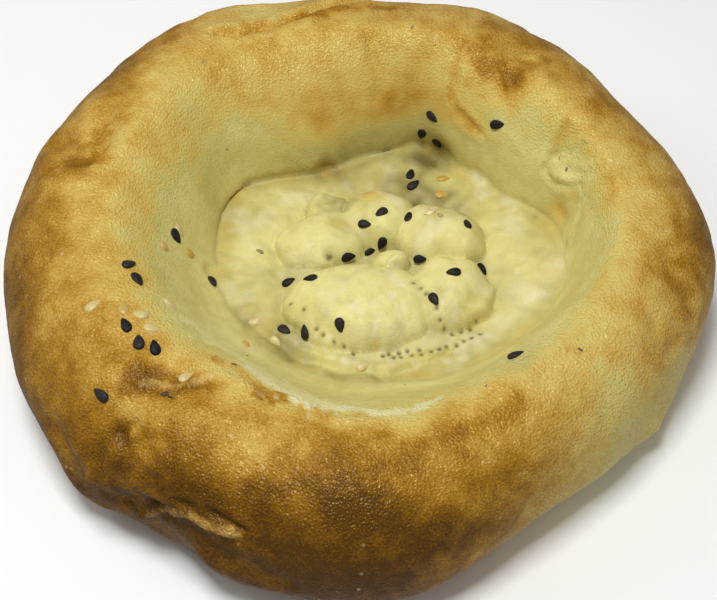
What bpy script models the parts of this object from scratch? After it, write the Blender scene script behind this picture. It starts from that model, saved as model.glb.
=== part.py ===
"""Uzbek flatbread (non): a round wheat loaf, puffed into a thick rim round a stamped centre.

The loaf is one solid. Its section changes with the bearing round the loaf: a flat underside, a bulging
side, a rolled crest, an inner wall that is gentle at the front and tucked under itself at the back, and a
sunken floor. The bread stamp pinned the floor down, and the dough puffed up between its pins into five
petals. Black and pale sesame seeds are baked onto the crust and are part of the same solid.

Sizes are in millimetres until the mesh is written. The frame is +X right, +Y back, +Z up, and the loaf is
drawn about the middle of its stamp, then moved so that the origin is under the middle of its box.
"""

import math
from itertools import pairwise

import bmesh
import bpy
import numpy as np
from mathutils import Matrix, Vector

MM = 0.001

# Sections of the loaf, by bearing in degrees anticlockwise from the right-hand side, in mm:
# outer radius, crest radius, crest height, floor radius, floor height, and how far the wall leans outwards
# at its foot (0 is upright, and less than 0 hangs over the floor).
SECTIONS = {
    0: (76, 54, 37, 42, 14.5, 0.30),
    30: (74, 54, 39, 42, 14.5, 0.15),
    60: (78, 55, 41, 41, 13.0, 0.00),
    90: (77, 56, 42, 41, 13.0, -0.06),
    120: (86, 59, 41, 39, 13.0, -0.06),
    150: (85, 60, 41, 41, 14.0, 0.06),
    180: (85, 61, 39, 37, 14.0, 0.30),
    210: (84, 61, 38, 33, 14.0, 0.34),
    240: (80, 59, 37, 30, 14.0, 0.34),
    270: (80, 59, 36, 29, 14.0, 0.34),
    300: (70, 53, 36, 30, 14.0, 0.34),
    330: (70, 52, 36, 35, 14.5, 0.32),
}
# Where the floor runs further under the wall, or less far: bearing in degrees, change of its radius in mm, and
# half width in degrees.
FLOOR_BAYS = ((22, 1.5, 12), (42, -2.5, 12), (78, 3.5, 8), (108, -2.5, 12), (140, 3.0, 14))
SIDE_HEIGHT = 17.0  # height at which the side is widest
FOOT_TUCK = 8.0  # how far the foot lies inside the widest line
FOOT_FADE = 6.0  # height below which the relief dies out, so that the underside is flat
WALL_RISE = 0.45  # share of its height at which the inner wall starts to turn over
CREST_REACH = 0.45  # share of the wall's run that the crest rolls inwards
SHOULDER_FULLNESS = 2.2  # exponent of the shoulder's curve: 2 is an ellipse

# The bread stamp pressed a round patch, in mm. Inside it the dough puffed up into petals.
STAMP_MIDDLE = (1.0, 3.0)
STAMP_RADIUS = 24.0
STAMP_SHOULDER = 5.0  # width of the petals' rounded outer edge
TRENCH_DEPTH = 1.5  # groove that the rim of the stamp pressed
TRENCH_WIDTH = 3.2
PETAL_JOIN = (-1.5, 4.5)  # where the petals meet
# Height of the petals over the floor, by bearing in degrees from where they meet.
PETAL_HEIGHTS = {"right_back": (30, 7.0), "back": (88, 7.4), "left": (155, 6.2), "front": (262, 5.4),
                 "right_front": (325, 6.0)}
# Furrows between the petals, as places x, y from where they meet to the stamp's edge, in mm.
FURROWS = (
    ((-2, 6), (-6, 14), (-8, 19), (-12, 26)),
    ((1, 8), (5, 15), (8, 20), (11, 26)),
    ((3, 2), (12, 2.5), (27, 1)),
    ((-1, 1), (3, -1), (9, -8), (13, -15), (15, -20)),
    ((-4, 5), (-12, 2.5), (-18, 0), (-25, -1)),
)
FURROW_WIDTH = 2.4  # half width of a furrow between two petals
FURROW_DEPTH = 0.62  # share of a petal's height that its furrows take away
KNOBS = ((-12.5, 21.0, 5.0, 2.6), (1.6, 3.6, 3.6, 2.4))  # small lumps: x, y, radius, height, in mm
FLOOR_FADE = 0.86  # share of the floor's radius past which it is level with the wall's foot

# Broad swellings (+) and hollows (-) of the crust: x, y of a place on top, radius, height, in mm.
TOP_SWELLINGS = (
    (-31, 9, 9, 1.6),
    (-27, 24, 7, 1.2),
    (34, 8, 8, 1.0),
    (-16, -57, 12, 1.0),
    (-46, -45, 5, -1.2),
    (-36, -46, 5, -1.0),
    (-52, -55, 6, -2.2),
    (33, 48, 6, -1.8),
    (43, 22, 6, -1.4),
    (62, -14, 7, -1.2),
    (-66, 19, 6, -1.6),
)
# The same on the side: bearing in degrees, height up the side, radius, height of the swelling, in mm.
SIDE_SWELLINGS = (
    (-27, 5, 9, 1.8),
    (222, 12, 9, 1.8),
    (238, 15, 8, -1.6),
    (246, 11, 11, 1.6),
    (112, 22, 12, 1.6),
    (70, 24, 12, 1.2),
)
# Folds where the dough sank over itself: depth, half width in mm, then places on top as x, y.
TOP_FOLDS = (
    (1.3, 2.6, ((-73, 22), (-69, 15), (-65, 15), (-61, 21), (-60, 27))),
    (1.0, 2.6, ((-32, -43), (-27, -48), (-20, -52), (-10, -54), (0, -56))),
    (1.2, 2.6, ((-38, -3), (-22, -16), (-10, -23), (0, -28), (12, -28), (22, -20), (33, -9), (38, 0))),
)
# The same on the side, as bearing in degrees and height.
SIDE_FOLDS = (
    (2.2, 2.6, ((216, 22), (222, 16), (226, 10), (229, 6))),
    (2.0, 2.6, ((226, 16), (232, 19), (240, 19), (249, 17), (256, 14))),
    (1.8, 2.8, ((136, 30), (126, 32), (116, 31), (104, 33), (92, 34), (80, 33), (66, 30))),
)
LIP_SHARE, LIP_PLACE = 0.35, 2.0  # height of a fold's lip in depths, and its place in half widths
UNEVENNESS = ((60.0, 0.55), (28.0, 0.35))  # wavelength and height of the crust's unevenness, in mm
WAVES = 14
WAVE_SEED = 7

# Black sesame: x, y of the place on top in mm, and the heading of the pointed end in degrees.
BLACK_SEEDS = (
    (-46.0, 2.6, 50),
    (-53.9, -15.4, 60),
    (-51.9, -19.4, 100),
    (-38.7, -1.6, 95),
    (-52.8, -33.0, 115),
    (-49.8, -37.2, -80),
    (-46.4, -38.3, -75),
    (-56.5, -47.5, 140),
    (-20.6, -2.6, 25),
    (-15.8, -4.6, 185),
    (-21.5, -14.4, -40),
    (-17.1, -14.7, 10),
    (-9.1, -15.9, -80),
    (-7.5, 4.3, 5),
    (-2.6, 6.6, 50),
    (0.6, 5.4, -110),
    (-3.3, 13.6, -5),
    (0.2, 15.1, -125),
    (6.9, 17.2, 80),
    (19.8, 10.6, 100),
    (9.0, 2.8, 0),
    (16.3, -3.5, 190),
    (23.1, 2.0, -60),
    (11.9, -9.6, -60),
    (27.7, -38.2, 10),
    (7.5, 33.7, 78),
    (8.3, 30.2, 40),
)
# The same on the back wall: bearing in degrees, height, and heading as the wall is looked at.
BLACK_WALL_SEEDS = (
    (75.8, 21.2, -100),
    (70.2, 18.9, -60),
    (72.8, 26.1, -30),
    (51.5, 28.6, 12),
)
# White sesame, sunk deeper into the crust.
PALE_SEEDS = (
    (-45.3, 6.0, 55),
    (-42.6, -0.6, 55),
    (-48.0, -4.2, 60),
    (-45.1, -23.7, 70),
    (-60.0, -27.5, 20),
    (-53.6, -28.4, 150),
    (-47.9, -31.4, 60),
    (-39.7, -45.6, 120),
    (-28.3, -12.2, 20),
    (-34.8, -10.8, 160),
    (-23.4, -17.4, -40),
    (-29.9, -20.8, 100),
    (-4.0, -24.2, 30),
    (15.5, 33.0, 0),
    (15.0, 27.6, 60),
    (13.0, 17.0, 20),
)
SEED_LENGTH, SEED_WIDTH, SEED_THICKNESS = 3.4, 2.1, 1.1
SEED_STANDS = 0.12  # share of its thickness by which a seed's middle stands over the crust
PALE_SEED_STANDS = -0.18
SEED_TAPER = 0.28  # how much thinner the pointed end is than the round one
SEED_REACH = 0.03  # step on the crust from which a seed takes its slope
SEED_SIDES, SEED_ROWS = 6, 3

# Mesh: rows of points from the centre outwards, and how many points a row has inside each radius in mm.
STAMP_STEP = 1.15
STAMP_ROWS, FLOOR_ROWS, WALL_ROWS, SHOULDER_ROWS, SIDE_ROWS = 24, 3, 8, 8, 5
ROW_POINTS = ((4.0, 12), (8.0, 24), (16.0, 48))
FULL_ROW = 96
SEARCH_STEPS = 301  # steps in which a place on the section is looked for

SHARP_ANGLE = math.radians(40)  # edges sharper than this, round the seeds, stay crisp
CRUST_COLOUR = (0.42, 0.23, 0.05, 1.0)
CRUST_ROUGHNESS = 0.45


def section_values(bearing):
    """Sizes of the section at each bearing in radians, joined smoothly between the listed ones."""
    table = np.array([SECTIONS[key] for key in sorted(SECTIONS)], float)
    count = len(table)
    place = np.degrees(bearing) % 360 / (360 / count)
    first = np.floor(place).astype(int)
    share = (place - first)[..., None]
    before, a, b, after = (table[(first + step) % count] for step in (-1, 0, 1, 2))
    bend = 2 * before - 5 * a + 4 * b - after + share * (3 * (a - b) + after - before)
    outer, crest, top, floor, floor_z, lean = np.moveaxis(a + 0.5 * share * (b - before + share * bend), -1, 0)
    for middle, reach, half_width in FLOOR_BAYS:
        aside = (np.degrees(bearing) - middle + 180) % 360 - 180
        floor = floor + reach * np.exp(-((aside / half_width) ** 2))
    return outer, crest, top, floor, floor_z, lean


def bare_point(bearing, girth):
    """Point of the loaf without its relief.

    Girth runs over the surface: 0 to 1 across the floor, to 2 up the wall to the crest, to 3 over the
    shoulder to the widest line, and to 4 down the side to the foot.
    """
    outer, crest, top, floor, floor_z, lean = section_values(bearing)
    across = np.clip(girth, 0, 1)
    wall = np.clip(girth - 1, 0, 1)
    over = np.clip(girth - 2, 0, 1) * math.pi / 2
    down = np.clip(girth - 3, 0, 1) * math.pi / 2

    run, rise = crest - floor, top - floor_z
    shares = ((1 - wall) ** 3, 3 * wall * (1 - wall) ** 2, 3 * wall**2 * (1 - wall), wall**3)
    first_rise = WALL_RISE * (1 - np.clip(2 * lean, 0, 1))
    wall_r = floor + run * (shares[1] * lean + shares[2] * (1 - CREST_REACH) + shares[3])
    wall_z = floor_z + rise * (shares[1] * first_rise + shares[2] + shares[3])

    power = 2 / SHOULDER_FULLNESS
    over_r = crest + (outer - crest) * np.sin(over) ** power
    over_z = SIDE_HEIGHT + (top - SIDE_HEIGHT) * np.clip(np.cos(over), 0, 1) ** power
    down_r = outer - FOOT_TUCK * (1 - np.cos(down))
    down_z = SIDE_HEIGHT * (1 - np.sin(down))

    parts = (girth <= 1, girth <= 2, girth <= 3)
    radius = np.select(parts, (floor * across, wall_r, over_r), down_r)
    height = np.select(parts, (floor_z + 0 * across, wall_z, over_z), down_z)
    return np.stack([radius * np.cos(bearing), radius * np.sin(bearing), height], axis=-1)


def bare_normal(bearing, girth):
    """Outward normal of the bare loaf, from two short steps along it."""
    step = 0.01
    inside = np.clip(girth, step, 4 - step)
    along = bare_point(bearing, inside + step) - bare_point(bearing, inside - step)
    round_it = bare_point(bearing + step, inside) - bare_point(bearing - step, inside)
    normal = np.cross(along, round_it)
    length = np.linalg.norm(normal, axis=-1, keepdims=True)
    return normal / np.maximum(length, 1e-9)


def on_top(x, y):
    """Bearing and girth of the place on the upper surface over (x, y)."""
    bearing = math.atan2(y, x)
    girths = np.linspace(0, 3, SEARCH_STEPS)
    points = bare_point(np.full_like(girths, bearing), girths)
    radii = np.maximum.accumulate(np.hypot(points[:, 0], points[:, 1]))
    return bearing, float(np.interp(math.hypot(x, y), radii, girths))


def at_height(degrees, height, first, last):
    """Bearing and girth of the place at that height, between two girths."""
    bearing = math.radians(degrees)
    girths = np.linspace(first, last, SEARCH_STEPS)
    heights = bare_point(np.full_like(girths, bearing), girths)[:, 2]
    order = np.argsort(heights)
    return bearing, float(np.interp(height, heights[order], girths[order]))


def place_of(bearing, girth):
    """The bare point at one bearing and girth."""
    return bare_point(np.array(bearing), np.array(girth))


def distance_to_path(points, path):
    """How far each point lies from the nearest stretch of a path."""
    nearest = np.full(points.shape[:-1], np.inf)
    for start, end in pairwise(np.array(path, float)):
        stretch = end - start
        share = np.clip((points - start) @ stretch / (stretch @ stretch), 0, 1)
        nearest = np.minimum(nearest, np.linalg.norm(points - start - share[..., None] * stretch, axis=-1))
    return nearest


def rounded(distance, reach):
    """Rises from 0 to 1 over the reach, as a rounded shoulder does."""
    return np.sin(np.clip(distance / reach, 0, 1) * math.pi / 2)


def petal_height(x, y):
    """Height of the puffed petals over the stamped floor."""
    plan = np.stack([x, y], axis=-1)
    headings, heights = np.array(sorted(PETAL_HEIGHTS.values())).T
    bearing = np.degrees(np.arctan2(y - PETAL_JOIN[1], x - PETAL_JOIN[0]))
    height = np.interp(bearing, headings, heights, period=360)
    furrow = np.min([distance_to_path(plan, path) for path in FURROWS], axis=0)
    height *= 1 - FURROW_DEPTH * np.exp(-((furrow / FURROW_WIDTH) ** 2))
    for knob_x, knob_y, radius, top in KNOBS:
        height += top * rounded(radius - np.hypot(x - knob_x, y - knob_y), radius)
    return height * rounded(STAMP_RADIUS - np.linalg.norm(plan - STAMP_MIDDLE, axis=-1), STAMP_SHOULDER)


def floor_height(x, y, girth):
    """Relief of the stamped floor, which dies out at the wall's foot."""
    past_edge = np.hypot(x - STAMP_MIDDLE[0], y - STAMP_MIDDLE[1]) - STAMP_RADIUS
    trench = TRENCH_DEPTH * np.exp(-((past_edge / TRENCH_WIDTH) ** 2))
    fade = np.clip((1 - girth) / (1 - FLOOR_FADE), 0, 1)
    return (petal_height(x, y) - trench) * fade * fade * (3 - 2 * fade)


def swelling(points, middle, radius, height):
    """A round swelling or hollow about one place."""
    distance = np.linalg.norm(points - middle, axis=-1)
    return height * np.exp(-((distance / radius) ** 2))


def fold(points, path, depth, half_width):
    """A groove along a path, with a low lip on both sides."""
    reach = distance_to_path(points, path) / half_width
    return depth * (LIP_SHARE * np.exp(-((reach - LIP_PLACE) ** 2)) - np.exp(-(reach**2)))


def unevenness(points):
    """Slow waves in all directions, since no two parts of the crust rise alike."""
    draw = np.random.default_rng(WAVE_SEED)
    height = np.zeros(points.shape[:-1])
    for length, amount in UNEVENNESS:
        for _ in range(WAVES):
            heading = draw.normal(size=3)
            heading /= np.linalg.norm(heading)
            phase = draw.uniform(0, 2 * math.pi)
            height += np.sin(points @ heading * 2 * math.pi / length + phase) * amount / math.sqrt(WAVES)
    return height


def relief(points):
    """Height of every swelling and fold over the bare loaf."""
    height = unevenness(points)
    for x, y, radius, top in TOP_SWELLINGS:
        height += swelling(points, place_of(*on_top(x, y)), radius, top)
    for degrees, up, radius, top in SIDE_SWELLINGS:
        height += swelling(points, place_of(*at_height(degrees, up, 2, 4)), radius, top)
    for depth, half_width, path in TOP_FOLDS:
        height += fold(points, [place_of(*on_top(*spot)) for spot in path], depth, half_width)
    for depth, half_width, path in SIDE_FOLDS:
        height += fold(points, [place_of(*at_height(*spot, 2, 4)) for spot in path], depth, half_width)
    return height


def loaf_point(bearing, girth):
    """Point of the finished crust. The relief dies out at the foot, so that the underside is flat."""
    points = bare_point(bearing, girth)
    foot_fade = np.clip(points[..., 2] / FOOT_FADE, 0, 1)
    lift = relief(points) * foot_fade
    points = points + bare_normal(bearing, girth) * lift[..., None]
    points[..., 2] += np.where(girth < 1, floor_height(points[..., 0], points[..., 1], girth), 0)
    return points


def row_bearings(radius):
    """Bearings of the points of a row: fewer of them near the centre, where they would crowd."""
    count = next((points for limit, points in ROW_POINTS if radius < limit), FULL_ROW)
    return np.arange(count) * 2 * math.pi / count


def loaf_rows():
    """Rows of points from just off the centre to the foot, each a closed ring."""
    rows = []
    for row in range(1, STAMP_ROWS + 1):
        bearings = row_bearings(row * STAMP_STEP)
        rows.append(loaf_point(bearings, row * STAMP_STEP / section_values(bearings)[3]))
    bearings = row_bearings(np.inf)
    stamp_edge = STAMP_ROWS * STAMP_STEP / section_values(bearings)[3]
    for share in np.linspace(0, 1, FLOOR_ROWS + 1)[1:]:
        rows.append(loaf_point(bearings, stamp_edge + (1 - stamp_edge) * share))
    for start, count in ((1, WALL_ROWS), (2, SHOULDER_ROWS), (3, SIDE_ROWS)):
        for share in np.linspace(0, 1, count + 1)[1:]:
            rows.append(loaf_point(bearings, np.full_like(bearings, start + share)))
    return rows


def stitch(mesh, inner, outer):
    """Faces between two rings of the same count, or where the outer has twice as many points."""
    count = len(inner)
    for i in range(count):
        j = (i + 1) % count
        if len(outer) == count:
            mesh.faces.new((inner[i], outer[i], outer[j], inner[j]))
        else:
            middle = outer[2 * i + 1]
            mesh.faces.new((inner[i], outer[2 * i], middle))
            mesh.faces.new((inner[i], middle, inner[j]))
            mesh.faces.new((inner[j], middle, outer[2 * j]))


def build_loaf():
    """The crust as one closed mesh, with a flat underside."""
    mesh = bmesh.new()
    centre = mesh.verts.new(Vector(loaf_point(np.array([0.0]), np.array([0.0]))[0]))
    rings = [[mesh.verts.new(Vector(point)) for point in row] for row in loaf_rows()]
    for i, vertex in enumerate(rings[0]):
        mesh.faces.new((centre, vertex, rings[0][(i + 1) % len(rings[0])]))
    for inner, outer in pairwise(rings):
        stitch(mesh, inner, outer)
    mesh.faces.new(list(reversed(rings[-1])))
    bmesh.ops.recalc_face_normals(mesh, faces=mesh.faces)
    return new_object("bread", mesh)


def new_object(name, mesh):
    """An object in the scene from a bmesh, which is used up."""
    data = bpy.data.meshes.new(name)
    mesh.to_mesh(data)
    mesh.free()
    made = bpy.data.objects.new(name, data)
    bpy.context.scene.collection.objects.link(made)
    return made


def build_seed(name, bearing, girth, heading, stands):
    """A sesame seed, round at one end and pointed at the other, lying on the crust."""
    mesh = bmesh.new()
    rows = []
    for row in range(1, SEED_ROWS + 1):
        turn = math.pi * row / (SEED_ROWS + 1)
        along = -math.cos(turn)
        girth_here = math.sin(turn) * (1 - SEED_TAPER * along)
        ring = []
        for side in range(SEED_SIDES):
            angle = 2 * math.pi * side / SEED_SIDES
            across = math.cos(angle) * girth_here * SEED_WIDTH / 2
            up = math.sin(angle) * girth_here * SEED_THICKNESS / 2
            ring.append(mesh.verts.new((along * SEED_LENGTH / 2, across, up)))
        rows.append(ring)
    blunt = mesh.verts.new((-SEED_LENGTH / 2, 0, 0))
    tip = mesh.verts.new((SEED_LENGTH / 2, 0, 0))
    for i in range(SEED_SIDES):
        j = (i + 1) % SEED_SIDES
        mesh.faces.new((blunt, rows[0][i], rows[0][j]))
        mesh.faces.new((tip, rows[-1][j], rows[-1][i]))
    for inner, outer in pairwise(rows):
        stitch(mesh, inner, outer)
    bmesh.ops.recalc_face_normals(mesh, faces=mesh.faces)
    seed = new_object(name, mesh)
    seed.matrix_world = seed_placing(bearing, girth, heading, stands)
    return seed


def seed_placing(bearing, girth, heading, stands):
    """Where a seed lies: flat on the crust's own slope, turned to its heading from +X."""
    steps = np.array([[0.0, 0.0], [SEED_REACH, 0.0], [0.0, SEED_REACH]])
    here, round_it, along = loaf_point(bearing + steps[:, 0], girth + steps[:, 1])
    up = Vector(np.cross(along - here, round_it - here)).normalized()
    east = Vector((1, 0, 0))
    east = (east - up * east.dot(up)).normalized()
    north = up.cross(east)
    turn = math.radians(heading)
    ahead = east * math.cos(turn) + north * math.sin(turn)
    turned = Matrix((ahead, up.cross(ahead), up)).transposed().to_4x4()
    return Matrix.Translation(Vector(here) + up * stands * SEED_THICKNESS) @ turned


def build_seeds():
    """Every seed: black ones on top and on the back wall, then the white ones."""
    black = [(*on_top(x, y), heading) for x, y, heading in BLACK_SEEDS]
    black += [(*at_height(degrees, up, 1, 2), heading) for degrees, up, heading in BLACK_WALL_SEEDS]
    pale = [(*on_top(x, y), heading) for x, y, heading in PALE_SEEDS]
    seeds = [build_seed(f"black_seed_{i}", *spot, SEED_STANDS) for i, spot in enumerate(black)]
    seeds += [build_seed(f"pale_seed_{i}", *spot, PALE_SEED_STANDS) for i, spot in enumerate(pale)]
    return seeds


def bake_on(loaf, seeds):
    """Joins the seeds to the crust with one union, and removes them as objects."""
    holder = bpy.data.collections.new("seeds")
    bpy.context.scene.collection.children.link(holder)
    for seed in seeds:
        holder.objects.link(seed)
        bpy.context.scene.collection.objects.unlink(seed)
    join = loaf.modifiers.new("baked_on", "BOOLEAN")
    join.operation = "UNION"
    join.operand_type = "COLLECTION"
    join.collection = holder
    join.solver = "EXACT"
    bpy.context.view_layer.objects.active = loaf
    bpy.ops.object.modifier_apply(modifier=join.name)
    for seed in seeds:
        bpy.data.objects.remove(seed)
    bpy.data.collections.remove(holder)


def stand_on_origin(loaf):
    """Turns millimetres to metres and puts the origin under the middle of the loaf's box."""
    corners = np.array([vertex.co for vertex in loaf.data.vertices])
    middle = (corners.min(axis=0) + corners.max(axis=0)) / 2
    shift = Matrix.Translation((-middle[0], -middle[1], -corners[:, 2].min()))
    loaf.data.transform(Matrix.Scale(MM, 4) @ shift)


def crust_material():
    """Golden-brown baked crust with a slight shine."""
    material = bpy.data.materials.new("crust")
    material.use_nodes = True
    shader = material.node_tree.nodes["Principled BSDF"]
    shader.inputs["Base Color"].default_value = CRUST_COLOUR
    shader.inputs["Roughness"].default_value = CRUST_ROUGHNESS
    shader.inputs["Metallic"].default_value = 0.0
    return material


def main():
    """Clears the scene and builds the flatbread."""
    for old in list(bpy.data.objects):
        bpy.data.objects.remove(old)
    loaf = build_loaf()
    bake_on(loaf, build_seeds())
    stand_on_origin(loaf)
    loaf.data.shade_smooth()
    loaf.data.set_sharp_from_angle(angle=SHARP_ANGLE)
    loaf.data.materials.append(crust_material())


main()
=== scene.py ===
"""Looks of a stamped, sesame-sprinkled flatbread: its baked skin, its petals, its seeds and the studio.

The loaf's form is worked out in millimetres about the middle of its stamp, with +X right, +Y back and +Z
up, and is moved to the frame's origin when its mesh is written. A place on the loaf is a bearing in degrees,
anticlockwise from +X, and a girth: 0 to 1 across the floor, to 2 up the inner wall to the crest, to 3 over
the shoulder to the widest line, and to 4 down the side to the foot.
"""

import logging
import math
from dataclasses import dataclass, field
from enum import Enum
from itertools import pairwise
from typing import Any, Protocol, Sequence

import bpy
import numpy as np
from mathutils import Matrix, Vector


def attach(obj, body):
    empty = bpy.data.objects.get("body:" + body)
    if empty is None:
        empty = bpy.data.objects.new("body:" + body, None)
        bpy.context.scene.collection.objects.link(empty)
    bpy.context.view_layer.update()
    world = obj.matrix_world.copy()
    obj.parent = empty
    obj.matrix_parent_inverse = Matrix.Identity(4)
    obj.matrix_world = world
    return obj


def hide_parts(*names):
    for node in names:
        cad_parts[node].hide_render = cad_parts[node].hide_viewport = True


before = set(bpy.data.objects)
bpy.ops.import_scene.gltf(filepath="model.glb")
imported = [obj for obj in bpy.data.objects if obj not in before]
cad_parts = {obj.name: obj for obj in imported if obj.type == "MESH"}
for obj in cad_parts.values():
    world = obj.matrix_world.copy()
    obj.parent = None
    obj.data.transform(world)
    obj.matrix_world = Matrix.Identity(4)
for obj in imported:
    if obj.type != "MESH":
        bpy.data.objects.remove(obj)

MM = 0.001
Array = np.ndarray
Pair = tuple[float, float]
Place = tuple[float, float]  # a bearing in degrees and a girth, or an x and a y in mm
Layer = tuple[int, float, float]  # one field of noise: its seed, its wavelength in mm and its amount
Faces = list[tuple[int, ...]]
log = logging.getLogger("flatbread")


class Tone(Enum):
    """Colours of the bread and its seeds, as sRGB hex."""

    RAW_DOUGH = "E2DCB0"
    PALE_CRUST = "DDD58E"
    OLIVE_CRUST = "CABF74"
    STRAW = "CFBA67"
    HONEY = "CCAD59"
    GOLD = "BD953F"
    AMBER = "A07318"
    BROWN = "7E5407"
    SCORCH = "573602"
    BLISTER = "DCC791"
    BROWNED_FAT = "FFE7B4"
    # Painted shade: the tone that the crust is darkened towards where shade falls in holes, furrows and the
    # hollow.
    PAINTED_SHADE = "6E6632"
    CHAR = "2A1608"
    CRUMB = "E8D9A0"
    BLACK_SEED = "161415"
    BLACK_SEED_EDGE = "2C2724"
    WHITE_SEED = "CFC086"
    AMBER_SEED = "BE983F"
    STUDIO_WHITE = "F6F6F4"


def linear(tone: Tone) -> tuple[float, float, float, float]:
    """Turns an sRGB hex colour to linear light.

    Args:
        tone: The colour's name.

    Returns:
        Red, green, blue and alpha for a shader socket.
    """
    channels = [int(tone.value[i : i + 2], 16) / 255 for i in (0, 2, 4)]
    lit = [c / 12.92 if c <= 0.04045 else ((c + 0.055) / 1.055) ** 2.4 for c in channels]
    return (*lit, 1.0)


def smooth(low: float, high: float, value: Array) -> Array:
    """Rises smoothly from 0 at low to 1 at high."""
    share = np.clip((value - low) / (high - low), 0, 1)
    return share * share * (3 - 2 * share)


def bell(distance: Array, reach: float) -> Array:
    """Falls from 1 at no distance, past the reach, to 0."""
    return np.exp(-((distance / reach) ** 2))


def path_distance(points: Array, path: Array) -> Array:
    """How far each point lies from the nearest stretch of a path.

    Args:
        points: Points, with their coordinates along the last axis.
        path: The path's own points, in order.

    Returns:
        One distance for each point.
    """
    nearest = np.full(points.shape[:-1], np.inf)
    for start, end in pairwise(np.asarray(path, float)):
        stretch = end - start
        share = np.clip((points - start) @ stretch / (stretch @ stretch), 0, 1)
        aside = points - start - share[..., None] * stretch
        nearest = np.minimum(nearest, np.linalg.norm(aside, axis=-1))
    return nearest


@dataclass
class Noise:
    """Smooth random field in three dimensions, from a seeded lattice of slopes."""

    seed: int
    size: int = 32
    gain: float = 1.6  # brings the field's reach to about 1

    def __post_init__(self) -> None:
        """Draws the slopes once."""
        draw = np.random.default_rng(self.seed)
        slopes = draw.normal(size=(self.size, self.size, self.size, 3))
        self.slopes = slopes / np.linalg.norm(slopes, axis=-1, keepdims=True)

    def at(self, points: Array, wavelength: float) -> Array:
        """Value of the field, roughly from -1 to 1.

        Args:
            points: Points in mm.
            wavelength: Size of one swelling and one hollow together, in mm.

        Returns:
            One value for each point.
        """
        place = points / wavelength
        base = np.floor(place).astype(int)
        share = place - base
        ease = share**3 * (share * (share * 6 - 15) + 10)
        total = np.zeros(points.shape[:-1])
        for corner in np.ndindex(2, 2, 2):
            offset = np.array(corner)
            index = (base + offset) % self.size
            slope = self.slopes[index[..., 0], index[..., 1], index[..., 2]]
            weight = np.prod(np.where(offset == 1, ease, 1 - ease), axis=-1)
            total += weight * np.sum(slope * (share - offset), axis=-1)
        return total * self.gain


def layered(points: Array, layers: Sequence[Layer]) -> Array:
    """Sum of several fields of noise at each point."""
    return sum(Noise(seed=seed).at(points, wavelength) * amount for seed, wavelength, amount in layers)


def drift(points: Array, seeds: Sequence[int], wavelength: float) -> Array:
    """Random shifts that change smoothly from point to point, one coordinate for each seed."""
    return np.stack([Noise(seed=seed).at(points, wavelength) for seed in seeds], axis=-1)


@dataclass(frozen=True)
class Spot:
    """Something round about a place on the loaf: its radius in mm, and how much of it is in the middle."""

    place: Place
    radius: float
    amount: float


def spots(*rows: tuple[float, float, float, float]) -> tuple[Spot, ...]:
    """Spots from rows of bearing, girth, radius and amount."""
    return tuple(Spot((bearing, girth), radius, amount) for bearing, girth, radius, amount in rows)


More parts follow.
